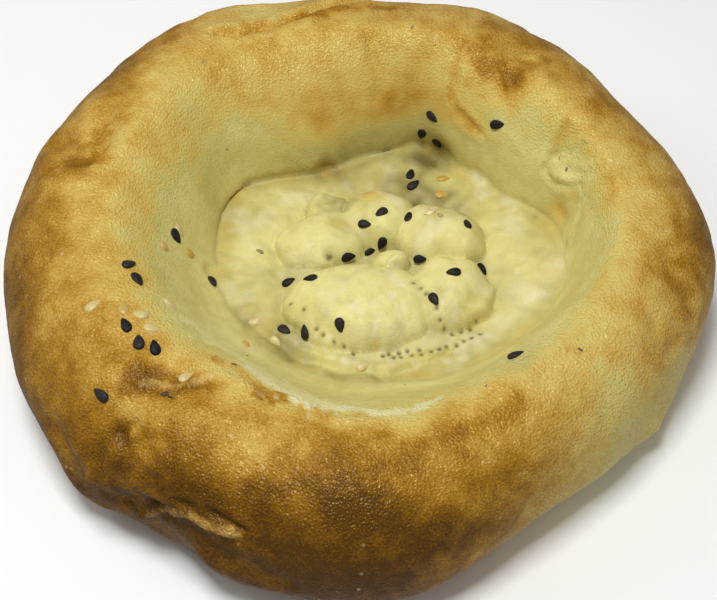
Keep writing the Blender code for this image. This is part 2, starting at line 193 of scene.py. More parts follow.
@dataclass(frozen=True)
class LoafForm:
    """The loaf's bare form, before anything swells or folds on it. Lengths are in mm."""

    # By bearing in degrees: outer radius, crest radius, crest height, floor radius, floor height, lean.
    sections: dict[int, tuple[float, ...]] = field(
        default_factory=lambda: {
            0: (76, 54, 37, 42, 14.5, 0.30),
            30: (74, 54, 39, 42, 14.5, 0.15),
            60: (78, 55, 41, 41, 13.0, 0.00),
            90: (77, 56, 42, 41, 13.0, -0.06),
            120: (86, 59, 41, 39, 13.0, -0.06),
            150: (85, 60, 41, 41, 14.0, 0.06),
            180: (85, 61, 39, 37, 14.0, 0.30),
            210: (84, 61, 38, 33, 14.0, 0.34),
            240: (80, 59, 37, 30, 14.0, 0.34),
            270: (80, 59, 36, 29, 14.0, 0.34),
            300: (70, 53, 36, 30, 14.0, 0.34),
            330: (70, 52, 36, 35, 14.5, 0.32),
        }
    )
    # Where the floor runs further under the wall, or less far: bearing, change of its radius, and half width
    # in degrees.
    floor_bays: tuple[tuple[float, float, float], ...] = (
        (22, 1.5, 12),
        (42, -2.5, 12),
        (78, 3.5, 8),
        (108, -2.5, 12),
        (140, 3.0, 14),
    )
    side_height: float = 17.0
    foot_tuck: float = 8.0
    wall_rise: float = 0.45
    crest_reach: float = 0.45
    shoulder_fullness: float = 2.2
    stamp_place: Place = (4.69, 0.55)  # where the middle of the stamp lies in the frame
    slope_step: float = 0.01  # short step of bearing and girth that the normal is worked out over
    search_steps: int = 601

    def values(self, bearing: Array) -> Array:
        """Sizes of the section at each bearing, joined smoothly between the listed ones.

        Args:
            bearing: Bearings in radians.

        Returns:
            The six sizes along the first axis.
        """
        table = np.array([self.sections[key] for key in sorted(self.sections)], float)
        count = len(table)
        place = np.degrees(bearing) % 360 / (360 / count)
        first = np.floor(place).astype(int)
        share = (place - first)[..., None]
        before, a, b, after = (table[(first + step) % count] for step in (-1, 0, 1, 2))
        bend = 2 * before - 5 * a + 4 * b - after + share * (3 * (a - b) + after - before)
        values = np.moveaxis(a + 0.5 * share * (b - before + share * bend), -1, 0)
        for middle, reach, half_width in self.floor_bays:
            aside = (np.degrees(bearing) - middle + 180) % 360 - 180
            values[3] += reach * np.exp(-((aside / half_width) ** 2))
        return values

    def point(self, bearing: Array, girth: Array) -> Array:
        """Point of the bare loaf.

        Args:
            bearing: Bearings in radians.
            girth: Girths from 0 to 4.

        Returns:
            Points in mm, with x, y and z along the last axis.
        """
        outer, crest, top, floor, floor_z, lean = self.values(bearing)
        across = np.clip(girth, 0, 1)
        wall = np.clip(girth - 1, 0, 1)
        over = np.clip(girth - 2, 0, 1) * math.pi / 2
        down = np.clip(girth - 3, 0, 1) * math.pi / 2
        run, rise = crest - floor, top - floor_z
        shares = ((1 - wall) ** 3, 3 * wall * (1 - wall) ** 2, 3 * wall**2 * (1 - wall), wall**3)
        first_rise = self.wall_rise * (1 - np.clip(2 * lean, 0, 1))
        wall_r = floor + run * (shares[1] * lean + shares[2] * (1 - self.crest_reach) + shares[3])
        wall_z = floor_z + rise * (shares[1] * first_rise + shares[2] + shares[3])
        power = 2 / self.shoulder_fullness
        over_r = crest + (outer - crest) * np.sin(over) ** power
        over_z = self.side_height + (top - self.side_height) * np.clip(np.cos(over), 0, 1) ** power
        down_r = outer - self.foot_tuck * (1 - np.cos(down))
        down_z = self.side_height * (1 - np.sin(down))
        parts = (girth <= 1, girth <= 2, girth <= 3)
        radius = np.select(parts, (floor * across, wall_r, over_r), down_r)
        height = np.select(parts, (floor_z + 0 * across, wall_z, over_z), down_z)
        return np.stack([radius * np.cos(bearing), radius * np.sin(bearing), height], axis=-1)

    def normal(self, bearing: Array, girth: Array) -> Array:
        """Outward normal of the bare loaf, from two short steps along it.

        Args:
            bearing: Bearings in radians.
            girth: Girths from 0 to 4.

        Returns:
            Unit vectors.
        """
        step = self.slope_step
        inside = np.clip(girth, step, 4 - step)
        along = self.point(bearing, inside + step) - self.point(bearing, inside - step)
        round_it = self.point(bearing + step, inside) - self.point(bearing - step, inside)
        normal = np.cross(along, round_it)
        return normal / np.maximum(np.linalg.norm(normal, axis=-1, keepdims=True), 1e-9)

    def place(self, bearing: float, girth: float) -> Array:
        """The bare point at a bearing in degrees and a girth."""
        return self.point(np.array(math.radians(bearing)), np.array(float(girth)))

    def line(self, places: Sequence[Place]) -> Array:
        """The bare points at several places."""
        return np.array([self.place(*place) for place in places])

    def distance(self, points: Array, place: Place) -> Array:
        """How far each point lies from a place on the bare loaf."""
        return np.linalg.norm(points - self.place(*place), axis=-1)

    def spotted(self, points: Array, marks: Sequence[Spot], ragged: Array | float = 1.0) -> Array:
        """Sum of several spots at each point.

        Args:
            points: Points of the bare loaf in mm.
            marks: The spots.
            ragged: What each distance is multiplied by, to make the spots uneven.

        Returns:
            One amount for each point.
        """
        total = np.zeros(points.shape[:-1])
        for spot in marks:
            total += spot.amount * bell(self.distance(points, spot.place) * ragged, spot.radius)
        return total

    def on_top(self, x: float, y: float) -> Place:
        """Place on the upper surface over a spot.

        Args:
            x: Distance to the right of the stamp's middle, in mm.
            y: Distance behind it.

        Returns:
            Bearing in degrees and girth.
        """
        bearing = math.atan2(y, x)
        girths = np.linspace(0, 3, self.search_steps)
        points = self.point(np.full_like(girths, bearing), girths)
        radii = np.maximum.accumulate(np.hypot(points[:, 0], points[:, 1]))
        return math.degrees(bearing), float(np.interp(math.hypot(x, y), radii, girths))


@dataclass(frozen=True)
class Stamp:
    """The pressed centre, where the dough puffed up between the stamp's pins. Lengths are in mm."""

    middle: Place = (1.0, 3.0)
    radius: float = 24.0
    edge_softness: float = 2.0
    trench_depth: float = 1.6
    trench_width: float = 2.6
    floor_fade: float = 0.86  # girth past which the stamp's relief dies out
    # Pillows of dough: middle x and y, half length, half breadth, turn in degrees and height.
    pillows: tuple[tuple[float, ...], ...] = (
        (-13.2, 11.3, 11.2, 8.6, 20, 5.6),
        (-0.6, 17.8, 9.2, 8.8, 0, 6.9),
        (14.2, 12.0, 10.8, 9.2, -30, 7.0),
        (15.6, -5.4, 10.6, 9.6, 20, 5.7),
        (-4.6, -8.6, 17.8, 11.6, 0, 5.8),
        (-12.5, 21.4, 5.5, 4.0, 25, 4.4),
        (2.4, 3.8, 4.4, 3.2, 0, 5.2),
    )
    pillow_bulge: float = 2.9  # how square a pillow's top is
    pillow_blend: float = 12.0  # how sharply two pillows meet
    wobble: Pair = (6.0, 1.1)  # wavelength and reach of what keeps their edges uneven
    # Wrinkles of the pillows, which are full from the given height upwards.
    pillow_skin: tuple[Layer, ...] = ((84, 6.0, 0.42), (85, 2.6, 0.20), (86, 1.2, 0.07))
    skin_full: float = 3.0
    # Rows of holes that the pins left: how many, then the line that they follow.
    pin_rows: tuple[tuple[int, tuple[Place, ...]], ...] = (
        (12, ((0.4, -21.2), (5.8, -21.3), (11.0, -20.2), (16.6, -18.2), (22.3, -15.0))),
        (4, ((2.2, -20.2), (8.3, -19.4))),
        (7, ((12.6, -12.0), (13.3, -15.2), (17.5, -14.8), (21.5, -12.4))),
        (3, ((7.8, -5.0), (9.9, -8.4))),
        (2, ((-20.5, -9.0), (-17.4, -11.0))),
        (5, ((-14.4, -16.2), (-10.8, -18.2), (-6.1, -20.0))),
    )
    # Pits whose shade is painted in: x, y and radius in mm.
    pits: tuple[tuple[float, ...], ...] = ((-11.7, 4.4, 1.0),)
    furrow_shade: float = 0.38  # how much darker the floor between the pillows looks
    furrow_light: Pair = (-14.0, 6.0)  # y over which the light from the front stops reaching it
    furrow_lit: float = 0.25  # share of the shade that is left where it does reach
    furrow_heights: Pair = (0.2, 1.9)  # over which the shade gives way to the pillow
    pin_radius: float = 0.5
    pin_depth: float = 0.5
    pin_strays: Pair = (0.25, 0.20)  # how far the pins stand off their rows, in x and y
    pin_seed: int = 11

    def pins(self) -> list[Place]:
        """Where each pin went in: evenly along its row, and a little off it.

        Returns:
            An x and a y for each pin.
        """
        draw = np.random.default_rng(self.pin_seed)
        places = []
        for count, line in self.pin_rows:
            corners = np.array(line, float)
            stretches = np.linalg.norm(np.diff(corners, axis=0), axis=1)
            lengths = np.concatenate([[0], np.cumsum(stretches)])
            for along in np.linspace(0, lengths[-1], count):
                x, y = (np.interp(along, lengths, corners[:, axis]) for axis in (0, 1))
                stray_x, stray_y = (draw.normal(0, stray) for stray in self.pin_strays)
                places.append((x + stray_x, y + stray_y))
        return places

    def marks(self, points: Array) -> Array:
        """Painted shade in the pin holes, the pits and the furrows between the pillows.

        Args:
            points: Points of the finished crust in mm.

        Returns:
            Values from 0 to 1.
        """
        marks = np.zeros(points.shape[:-1])
        for x, y, radius in (*((*spot, self.pin_radius) for spot in self.pins()), *self.pits):
            middle = points[np.argmin(np.linalg.norm(points[..., :2] - (x, y), axis=-1))]
            marks += bell(np.linalg.norm(points - middle, axis=-1), radius)
        plan = points[..., :2]
        past_edge = np.linalg.norm(plan - self.middle, axis=-1) - self.radius
        inside = 1 - smooth(-self.edge_softness, self.edge_softness, past_edge)
        unlit = self.furrow_lit + (1 - self.furrow_lit) * smooth(*self.furrow_light, plan[..., 1])
        low = 1 - smooth(*self.furrow_heights, self.petal_height(plan))
        marks += self.furrow_shade * inside * unlit * low
        return np.clip(marks, 0, 1)

    def petal_height(self, plan: Array) -> Array:
        """Height of the puffed petals over the stamped floor.

        Args:
            plan: Places, with x and y along the last axis.

        Returns:
            One height for each place.
        """
        level = np.concatenate([plan, np.zeros((*plan.shape[:-1], 1))], axis=-1)
        wavelength, reach = self.wobble
        spread = plan + reach * drift(level, (81, 82), wavelength)
        total = np.zeros(plan.shape[:-1])
        for x, y, half_length, half_breadth, turn, top in self.pillows:
            angle = math.radians(turn)
            across, along = spread[..., 0] - x, spread[..., 1] - y
            u = (across * math.cos(angle) + along * math.sin(angle)) / half_length
            v = (along * math.cos(angle) - across * math.sin(angle)) / half_breadth
            bulge = np.clip(1 - (u * u + v * v) ** (self.pillow_bulge / 2), 0, 1)
            total += (top * np.sqrt(bulge)) ** self.pillow_blend
        height = total ** (1 / self.pillow_blend)
        for layer in self.pillow_skin:
            height += layered(level, (layer,)) * np.clip(height / self.skin_full, 0, 1)
        return height

    def height(self, plan: Array, girth: Array) -> Array:
        """Relief of the stamped floor, which dies out at the wall's foot.

        Args:
            plan: Places, with x and y along the last axis.
            girth: Their girths.

        Returns:
            One height for each place.
        """
        past_edge = np.linalg.norm(plan - self.middle, axis=-1) - self.radius
        groove = self.trench_depth * bell(past_edge, self.trench_width)
        height = np.maximum(self.petal_height(plan) - groove, -groove)
        for spot in self.pins():
            height -= self.pin_depth * bell(np.linalg.norm(plan - spot, axis=-1), self.pin_radius)
        return height * smooth(0.0, 1 - self.floor_fade, 1 - girth)


@dataclass(frozen=True)
class Fold:
    """A groove (-) or a raised lip (+) along a line of places on the loaf. Lengths are in mm."""

    height: float
    half_width: float
    line: tuple[Place, ...]
    lip: float = 0.35  # share of its height that rolls the other way beside it
    lip_place: float = 2.0  # in half widths

    def profile(self, distance: Array) -> Array:
        """Its height at each distance from its line."""
        reach = distance / self.half_width
        return self.height * (bell(reach, 1.0) - self.lip * bell(reach - self.lip_place, 1.0))


# Blisters in a row along the foot of the back wall, with their heights in mm. They are floury too.
BLISTERS = spots(
    (55.5, 1.004, 0.9, 0.5), (54.0, 1.000, 0.9, 0.5), (51.5, 0.996, 1.0, 0.5), (46.5, 0.932, 1.1, 0.5),
    (39.5, 0.968, 1.0, 0.5), (37.5, 0.964, 0.8, 0.4), (34.5, 0.956, 1.0, 0.5), (30.0, 0.912, 0.9, 0.4),
)


@dataclass
class Relief:
    """Everything that swells, sinks or folds on the bare loaf."""

    form: LoafForm
    # Broad swellings and hollows over a spot x, y: radius and height.
    broad_on_top: tuple[tuple[float, ...], ...] = (
        (-31, 9, 9, 1.6),
        (-27, 24, 7, 1.2),
        (34, 8, 8, 1.0),
        (-16, -57, 12, 1.0),
        (-46, -45, 5, -1.2),
        (-36, -46, 5, -1.0),
        (-52, -55, 6, -2.2),
        (33, 48, 6, -1.8),
        (43, 22, 6, -1.4),
        (62, -14, 7, -1.2),
        (-66, 19, 6, -1.6),
    )
    # Swellings (+) and hollows (-) at places on the loaf, with their heights in mm.
    dents: tuple[Spot, ...] = spots(
        # The hollow's floor
        (143, 0.96, 4.5, 2.0), (159.5, 0.308, 1.1, -1.6),
        # The inner wall
        (21, 1.16, 2.8, -0.9), (25, 1.50, 0.8, -1.0), (26, 1.46, 3.4, 0.9), (30, 1.50, 0.8, -0.9),
        (54, 1.72, 4.2, -1.1), (61, 1.83, 5.0, -0.5), (70, 1.04, 4.0, -2.2), (110, 1.03, 2.4, -1.0),
        # The crest
        (117, 2.27, 1.4, 0.6), (123, 2.18, 1.2, 0.7), (229, 2.08, 1.4, 0.8),
        # The shoulder
        (70, 2.85, 12, 1.2), (112, 2.9, 12, 1.6), (225, 2.78, 3.0, -0.8), (226, 2.51, 2.0, -1.0),
        (231, 2.53, 3.6, -1.1), (334, 2.40, 2.2, -0.6), (334, 2.67, 2.0, -0.6), (344, 2.57, 2.4, -0.6),
        # The side
        (222, 3.2, 9, 1.8), (238, 3.08, 8, -1.6), (243, 3.15, 7, 1.0), (246, 3.25, 11, 1.6),
        (328, 3.31, 3.0, 1.2), (-27, 3.66, 9, 1.8),
    )
    folds: tuple[Fold, ...] = (
        Fold(-1.3, 2.6, ((163, 2.45), (168, 2.26), (167, 2.12), (161, 2.14), (156, 2.20))),
        Fold(
            -0.8,
            2.6,
            (
                (210, 0.98), (246, 0.95), (270, 0.95), (293, 0.95),
                (318, 0.88), (345, 0.86), (0, 0.92),
            ),
        ),
        Fold(-1.1, 2.8, ((216, 2.85), (222, 3.04), (226, 3.42), (229, 3.7))),
        Fold(-1.0, 2.2, ((226, 3.04), (232, 2.93), (240, 2.93), (249, 3.0), (256, 3.15))),
        Fold(
            -1.8,
            2.8,
            (
                (136, 2.62), (126, 2.56), (116, 2.58), (104, 2.53),
                (92, 2.5), (80, 2.52), (66, 2.6),
            ),
        ),
        Fold(
            0.65,
            0.8,
            (
                (229, 2.08), (231, 1.93), (233, 1.84), (239, 1.84),
                (242, 1.86), (248, 1.82), (255, 1.88), (270, 1.92),
            ),
        ),
        Fold(0.5, 0.8, ((236, 1.82), (240, 1.89), (246, 1.96), (252, 2.0), (262, 2.02))),
        Fold(0.5, 0.9, ((217, 2.1), (223, 2.14), (229, 2.08), (235, 2.0))),
        Fold(0.8, 1.0, ((228, 2.46), (226, 2.69), (224, 2.83), (224, 2.97))),
        Fold(0.8, 1.0, ((228, 2.48), (229, 2.57), (232, 2.58), (234, 2.56), (233, 2.47))),
        Fold(
            -1.1,
            0.8,
            (
                (229, 2.99), (231, 3.03), (233, 3.01), (234, 2.94),
                (239, 2.74), (244, 2.72), (250, 2.74),
            ),
        ),
        Fold(0.9, 0.8, ((232, 3.10), (237.5, 2.87), (241.5, 2.80), (245, 2.81), (248.5, 2.79))),
        Fold(-0.7, 0.9, ((69, 1.76), (68, 1.63), (67, 1.47), (65, 1.40), (60, 1.34), (54, 1.32))),
        Fold(0.6, 0.8, ((57, 1.84), (54, 1.70))),
        Fold(0.7, 0.7, ((57, 2.06), (54, 2.1), (51, 2.12))),
        Fold(-0.7, 0.8, ((32, 1.8), (32, 1.59), (31, 1.41), (29, 1.34), (26, 1.33), (21, 1.39), (18, 1.52))),
        Fold(0.6, 0.8, ((25, 1.84), (28, 1.65))),
        Fold(0.5, 0.8, ((24, 1.56), (18, 1.79))),
        Fold(0.7, 1.0, ((14, 1.36), (12, 1.17))),
        Fold(-1.5, 1.3, ((126, 2.16), (121, 2.08), (114, 2.07), (106, 2.13), (101, 2.21), (95, 2.3))),
        Fold(-0.5, 1.0, ((140, 1.0), (132, 1.0), (124, 1.0), (116, 1.0), (108, 1.0))),
        Fold(-0.6, 1.5, ((93, 1.85), (91, 1.61), (90, 1.40))),
        Fold(-1.0, 1.1, ((171, 2.36), (169, 2.2), (172, 2.12), (165, 2.1))),
        Fold(
            -0.7,
            1.2,
            (
                (179, 1.09), (195, 0.95), (216, 0.95), (240, 0.93),
                (270, 0.94), (295, 0.87), (321, 0.78), (3, 0.81),
            ),
        ),
    )
    fold_wobble: Pair = (7.0, 1.6)  # wavelength and reach of what keeps the folds uneven
    # Slow unevenness of the whole loaf: wavelength and height.
    waves: tuple[Pair, ...] = ((60.0, 0.55), (28.0, 0.35))
    wave_count: int = 14
    wave_seed: int = 7
    # Wrinkles of the skin: wavelength, and height on the rim, on the wall and on the floor.
    skin: tuple[tuple[float, ...], ...] = (
        (11.0, 0.30, 0.20, 0.50),
        (5.0, 0.16, 0.10, 0.38),
        (2.6, 0.080, 0.03, 0.20),
        (1.3, 0.040, 0.0, 0.07),
    )
    skin_seed: int = 20
    # Girths over which the rim's wrinkles come in, the floor's come in, and the floor's die out again.
    rim_start: Pair = (1.2, 2.0)
    floor_start: Pair = (0.62, 0.80)
    floor_end: Pair = (1.0, 1.12)
    foot_fade: float = 6.0  # height over the table from which the relief is full

    def unevenness(self, points: Array) -> Array:
        """Slow waves in all directions, since no two parts of the crust rise alike.

        Args:
            points: Points of the bare loaf in mm.

        Returns:
            One height for each point.
        """
        draw = np.random.default_rng(self.wave_seed)
        height = np.zeros(points.shape[:-1])
        for length, amount in self.waves:
            for _ in range(self.wave_count):
                heading = draw.normal(size=3)
                heading /= np.linalg.norm(heading)
                phase = draw.uniform(0, 2 * math.pi)
                wave = np.sin(points @ heading * 2 * math.pi / length + phase)
                height += wave * amount / math.sqrt(self.wave_count)
        return height

    def height(self, points: Array, girth: Array) -> Array:
        """Height of all the relief over the bare loaf.

        Args:
            points: Points of the bare loaf in mm.
            girth: Their girths.

        Returns:
            One height for each point, along the loaf's own normal.
        """
        height = self.unevenness(points)
        for x, y, radius, top in self.broad_on_top:
            height += top * bell(self.form.distance(points, self.form.on_top(x, y)), radius)
        height += self.form.spotted(points, (*self.dents, *BLISTERS))
        wavelength, reach = self.fold_wobble
        wobbling = points + reach * drift(points, (91, 92, 93), wavelength)
        for fold in self.folds:
            height += fold.profile(path_distance(wobbling, self.form.line(fold.line)))
        rim = smooth(*self.rim_start, girth)
        floor = smooth(*self.floor_start, girth) * (1 - smooth(*self.floor_end, girth))
        for i, (wavelength, on_rim, on_wall, on_floor) in enumerate(self.skin):
            amount = on_wall + (on_rim - on_wall) * rim + (on_floor - on_wall) * floor
            height += layered(points, ((self.skin_seed + i, wavelength, 1.0),)) * amount
        return height * np.clip(points[..., 2] / self.foot_fade, 0, 1)


@dataclass(frozen=True)
class Streak:
    """A strip along a line that baked darker or stayed paler, and how floury it is. Lengths are in mm."""

    line: tuple[Place, ...]
    half_width: float
    browned: float
    dough: float = 0.0
    ragged: float = 1.0  # how uneven its edge is


@dataclass
class Bake:
    """How brown the crust is: 0 is pale dough, 0.5 gold and 1 dark brown."""

    form: LoafForm
    # By bearing: girth where the browning starts and is full, its level at crest, shoulder, side and foot,
    # and the level of the wall below it.
    # Crest levels at 150 to 210 are kept lower partly as painted highlight, and side levels at 240 to 270 are
    # raised partly as painted shade on the front, which faces down and away from the light.
    levels: dict[int, tuple[float, ...]] = field(
        default_factory=lambda: {
            0: (1.30, 1.95, 0.44, 0.66, 0.80, 0.58, 0.14),
            30: (1.10, 1.80, 0.37, 0.58, 0.76, 0.58, 0.14),
            60: (1.00, 1.50, 0.33, 0.60, 0.66, 0.54, 0.20),
            90: (0.98, 1.35, 0.42, 0.56, 0.62, 0.52, 0.24),
            120: (1.00, 1.40, 0.42, 0.66, 0.58, 0.46, 0.24),
            150: (1.02, 1.80, 0.37, 0.70, 0.76, 0.60, 0.20),
            180: (1.20, 2.00, 0.44, 0.70, 0.88, 0.74, 0.13),
            210: (1.38, 2.05, 0.50, 0.76, 0.94, 0.78, 0.10),
            240: (1.55, 2.05, 0.64, 0.84, 0.96, 0.76, 0.14),
            270: (1.66, 2.08, 0.78, 0.84, 1.00, 0.90, 0.18),
            300: (1.55, 2.15, 0.52, 0.54, 0.52, 0.34, 0.20),
            318: (1.50, 2.15, 0.38, 0.28, 0.21, 0.22, 0.18),
            340: (1.48, 2.10, 0.44, 0.45, 0.28, 0.26, 0.16),
        }
    )
    # Places that baked darker (+) or stayed paler (-) than what is round them.
    patches: tuple[Spot, ...] = spots(
        # The hollow's floor
        (21, 0.33, 3.0, 0.14), (43, 0.30, 3.0, 0.14), (48, 0.46, 3.0, 0.16), (64, 0.64, 4.5, 0.14),
        (77, 0.92, 3.4, 0.16), (84, 0.55, 2.6, 0.30), (88, 0.74, 5.0, 0.12), (96, 0.56, 3.0, 0.34),
        (107, 0.37, 3.0, 0.26), (112, 0.66, 5.0, 0.12), (122, 0.36, 1.8, 0.20), (128, 0.41, 2.6, 0.24),
        (216, 0.86, 5.0, 0.16), (264.5, 0.65, 1.3, 0.34), (268, 0.68, 0.9, 0.28),
        # The inner wall
        (20, 1.68, 8.0, -0.10), (22, 1.18, 3.0, 0.32), (26, 1.46, 5.0, -0.08),
        (41.5, 1.62, 8.0, -0.18), (54, 1.74, 4.0, 0.22), (54, 1.95, 7.0, 0.14), (57, 1.52, 8.0, -0.08),
        (60, 1.34, 3.0, 0.16), (61, 1.83, 5.0, 0.14), (62, 1.30, 6.0, 0.10), (69, 1.66, 6.0, -0.12),
        (73, 1.00, 4.0, 0.14), (76, 1.42, 8.0, 0.13), (80, 1.62, 6.0, -0.08), (88, 1.66, 9.0, -0.14),
        (89, 1.42, 8.0, 0.13), (98, 1.90, 7.0, 0.10), (104, 1.40, 7.0, 0.08), (104, 1.62, 6.0, -0.10),
        (110, 1.03, 3.0, 0.30), (111, 1.32, 7.0, 0.10), (131, 1.45, 8.0, -0.10),
        (132, 1.95, 8.0, 0.14), (185, 1.95, 8.0, -0.08), (204, 1.98, 6.0, -0.11),
        (215, 1.80, 6.0, -0.10), (239, 1.72, 5.0, -0.20), (257, 1.95, 6.0, -0.12),
        (278, 1.88, 6.0, 0.10), (290, 1.94, 7.0, 0.11),
        # The crest
        (38, 2.09, 8.0, 0.17), (45, 2.13, 7.0, 0.10), (53, 2.28, 8.0, 0.10), (61, 2.00, 7.0, 0.14),
        (74, 2.00, 7.0, 0.22), (111, 2.19, 6.0, -0.10), (124, 2.22, 7.0, -0.16),
        (152, 2.08, 7.0, 0.12), (164, 2.20, 6.0, 0.12), (170, 2.16, 3.0, 0.14), (193, 2.04, 6.0, 0.10),
        (197, 2.20, 6.0, -0.11), (225, 2.14, 4.0, 0.12), (230, 2.03, 4.0, 0.12),
        # The paler spots at 240 to 250 on the front crest are partly paler crust and partly a painted
        # highlight on its top.
        (240, 2.27, 4.0, -0.05), (245, 2.25, 6.5, -0.18), (250, 2.12, 7.0, -0.12),
        (262, 2.20, 6.0, 0.11), (263, 2.00, 6.0, -0.08), (276, 2.20, 7.0, -0.10),
        (285, 2.08, 7.0, 0.04), (296, 2.10, 7.0, 0.10), (348, 2.23, 5.0, 0.14), (353, 2.10, 9.0, 0.08),
        (357, 2.04, 7.0, -0.12),
        # The shoulder
        (5, 2.32, 7.0, 0.12), (33, 2.30, 7.0, 0.10), (62, 2.35, 7.0, 0.10), (84, 2.30, 9.0, 0.13),
        (115, 2.38, 8.0, -0.22), (147, 2.36, 9.0, 0.12), (188, 2.41, 8.0, 0.12),
        (215, 2.84, 7.0, -0.16), (223, 2.88, 6.0, -0.12), (225, 2.44, 5.0, -0.16),
        (226, 2.51, 2.4, 0.35), (227, 2.76, 5.0, 0.15), (238, 2.62, 6.0, 0.15), (247, 2.52, 6.0, 0.08),
        (247, 2.90, 5.0, 0.12), (257, 2.42, 6.0, -0.08), (258, 2.85, 9.0, 0.12),
        (266, 2.38, 5.5, 0.18), (277, 2.62, 6.0, 0.20), (283, 2.90, 9.0, 0.05), (292, 2.81, 7.0, 0.10),
        (330, 2.54, 10.0, 0.23), (341, 2.65, 7.0, 0.10), (345, 2.46, 8.0, 0.17),
        (356, 2.55, 9.0, 0.12),
        # The side
        (256, 3.17, 8.0, -0.12),
    )
    # Browned and floury strips along the flap, the creases, the crest's lips and the trench.
    streaks: tuple[Streak, ...] = (
        Streak(((222.5, 2.18), (224, 2.13), (226.5, 2.10)), 3.6, 0.15, 0.0, 0.3),
        Streak(((230.5, 2.00), (232.5, 1.96), (234.5, 1.95)), 2.2, 0.14, 0.0, 0.3),
        Streak(((230.5, 1.80), (233, 1.75), (238, 1.78), (245, 1.86), (249.5, 1.85)), 1.7, 0.26),
        Streak(((62.5, 1.80), (56.5, 1.76), (49.5, 1.70)), 3.6, 0.08),
        Streak(((69, 1.68), (68.5, 1.50), (66.5, 1.40), (61.5, 1.376), (53, 1.336)), 1.0, 0.12),
        Streak(((32.5, 1.74), (31.5, 1.55), (31, 1.42), (27.5, 1.33), (20.5, 1.38), (15.5, 1.45)), 0.9, 0.12),
        Streak(((124.5, 2.16), (118.5, 2.10), (112.5, 2.10), (104, 2.10), (94, 2.19), (87, 2.20)), 1.4, 0.16),
        Streak(((161, 2.176), (164, 2.12), (168, 2.14), (168, 2.276)), 1.6, 0.14),
        Streak(((223.5, 2.18), (225, 2.12), (228.5, 2.10), (229.5, 2.03), (232, 1.90)), 0.5, -0.20, 0.1, 0.4),
        Streak(((233, 3.08), (237.5, 2.87), (241.5, 2.80), (245, 2.81), (248.5, 2.79)), 0.7, -0.24, 0.1, 0.5),
        Streak(
            (
                *((230, 1.68), (234, 1.66), (238.5, 1.69), (245, 1.77), (250, 1.77), (253.5, 1.84)),
                *((258.5, 1.81), (265, 1.77), (268, 1.82), (277, 1.82), (284, 1.76)),
            ),
            0.9,
            -0.12,
            0.60,
        ),
        Streak(
            ((216, 1.52), (224, 1.50), (232, 1.54), (240, 1.62), (248, 1.70), (256, 1.74)), 3.4, -0.16, 0.22
        ),
        Streak(((250, 0.70), (265, 0.70), (280, 0.66), (297, 0.64), (314, 0.64)), 3.2, -0.03, 0.34),
    )
    # Painted shade in the hollow: behind the pillows, under the wall and in a ring along the wall's foot.
    painted_shade: tuple[Spot, ...] = spots(
        # The hollow's floor
        (20, 0.86, 6.0, 0.20), (39, 0.60, 4.0, 0.22), (50, 0.70, 5.0, 0.30), (55, 0.75, 5.0, 0.32),
        (66, 0.68, 5.5, 0.55), (75, 0.72, 5.0, 0.32), (77, 0.90, 4.5, 0.40), (84, 0.70, 4.5, 0.50),
        (102, 0.82, 5.0, 0.28), (116, 0.60, 5.0, 0.35), (150, 0.90, 5.0, 0.18), (181, 0.73, 4.5, 0.20),
        (202, 0.92, 5.0, 0.25), (216, 0.85, 4.5, 0.25), (221, 0.85, 5.0, 0.40), (254, 0.92, 6.0, 0.12),
        (265, 0.78, 5.0, 0.14), (272, 0.90, 6.0, 0.08), (300, 0.86, 6.0, 0.20), (314, 0.45, 3.0, 0.22),
        (322, 0.82, 6.0, 0.20), (354, 0.66, 4.5, 0.28),
        # The inner wall
        (73, 1.00, 5.0, 0.50), (74, 1.27, 4.0, 0.24), (92, 1.08, 6.0, 0.30), (106, 1.08, 6.0, 0.30),
        (120, 1.08, 6.0, 0.20), (305, 1.86, 4.5, 0.25),
    )
    # Painted shade along the wall's foot: how deep it is.
    painted_foot_shade: float = 0.16
    painted_shade_ring: Pair = (0.98, 0.07)  # girth of the ring along the wall's foot, and its reach
    dark_fleck_girths: Pair = (0.95, 1.10)  # girths over which the floor's darker flecks die out
    # Darker flecks over the floor, and how far they darken it.
    dark_flecks: tuple[Layer, ...] = ((62, 5.0, 1.0), (63, 2.2, 0.6))
    dark_fleck_amount: float = 0.22
    # Unevenness of all this painted shade.
    painted_shade_unevenness: tuple[Layer, ...] = ((64, 3.0, 0.5),)
    # Mottling, of which the given share shows on the palest dough and all on what is browned past the levels.
    mottle: tuple[Layer, ...] = ((40, 24.0, 0.10), (41, 9.0, 0.12), (42, 4.0, 0.09))
    mottle_pale: float = 0.55
    mottle_levels: Pair = (0.1, 0.5)
    edge: tuple[Layer, ...] = ((31, 14.0, 0.12), (32, 5.0, 0.06))  # unevenness of the browning's edge
    patch_edge: tuple[Layer, ...] = ((51, 5.0, 0.35),)  # what keeps the patches' edges uneven
    streak_edge: tuple[Layer, ...] = ((52, 3.4, 1.1), (53, 1.6, 0.7))  # and the streaks'
    streak_fade: Pair = (0.7, 1.3)  # half widths over which a streak dies out
    streak_least: float = 0.4  # the least share of a distance that the ragged edge leaves
    # Floury dough: the band along the floor's front, its strength and reach, and the patches all over it.
    dough_band: tuple[Place, ...] = ((321, 0.84), (340, 0.84), (352, 0.88), (0, 0.92), (8, 0.96))
    band_dough: Pair = (0.40, 3.2)
    dough_patches: tuple[Layer, ...] = ((61, 7.0, 1.0), (65, 2.4, 0.5))
    dough_strength: float = 0.5
    dough_full: float = 0.6  # value of the noise from which a floury patch is full
    dough_girths: Pair = (0.90, 1.15)  # over which they die out
    blisters: tuple[Spot, ...] = BLISTERS
    blister_dough: Pair = (0.6, 1.0)  # strength and reach
    floor_level: float = 0.09
    floor_girths: Pair = (0.50, 0.75)  # over which the floor's level comes in
    wall_girths: Pair = (0.85, 1.50)  # over which it rises to the wall's
    foot_shade: float = 0.12  # painted shade along the wall's foot, laid in as a darker level of browning
    foot_ring: Pair = (0.97, 0.10)  # girth of its ring, and its reach

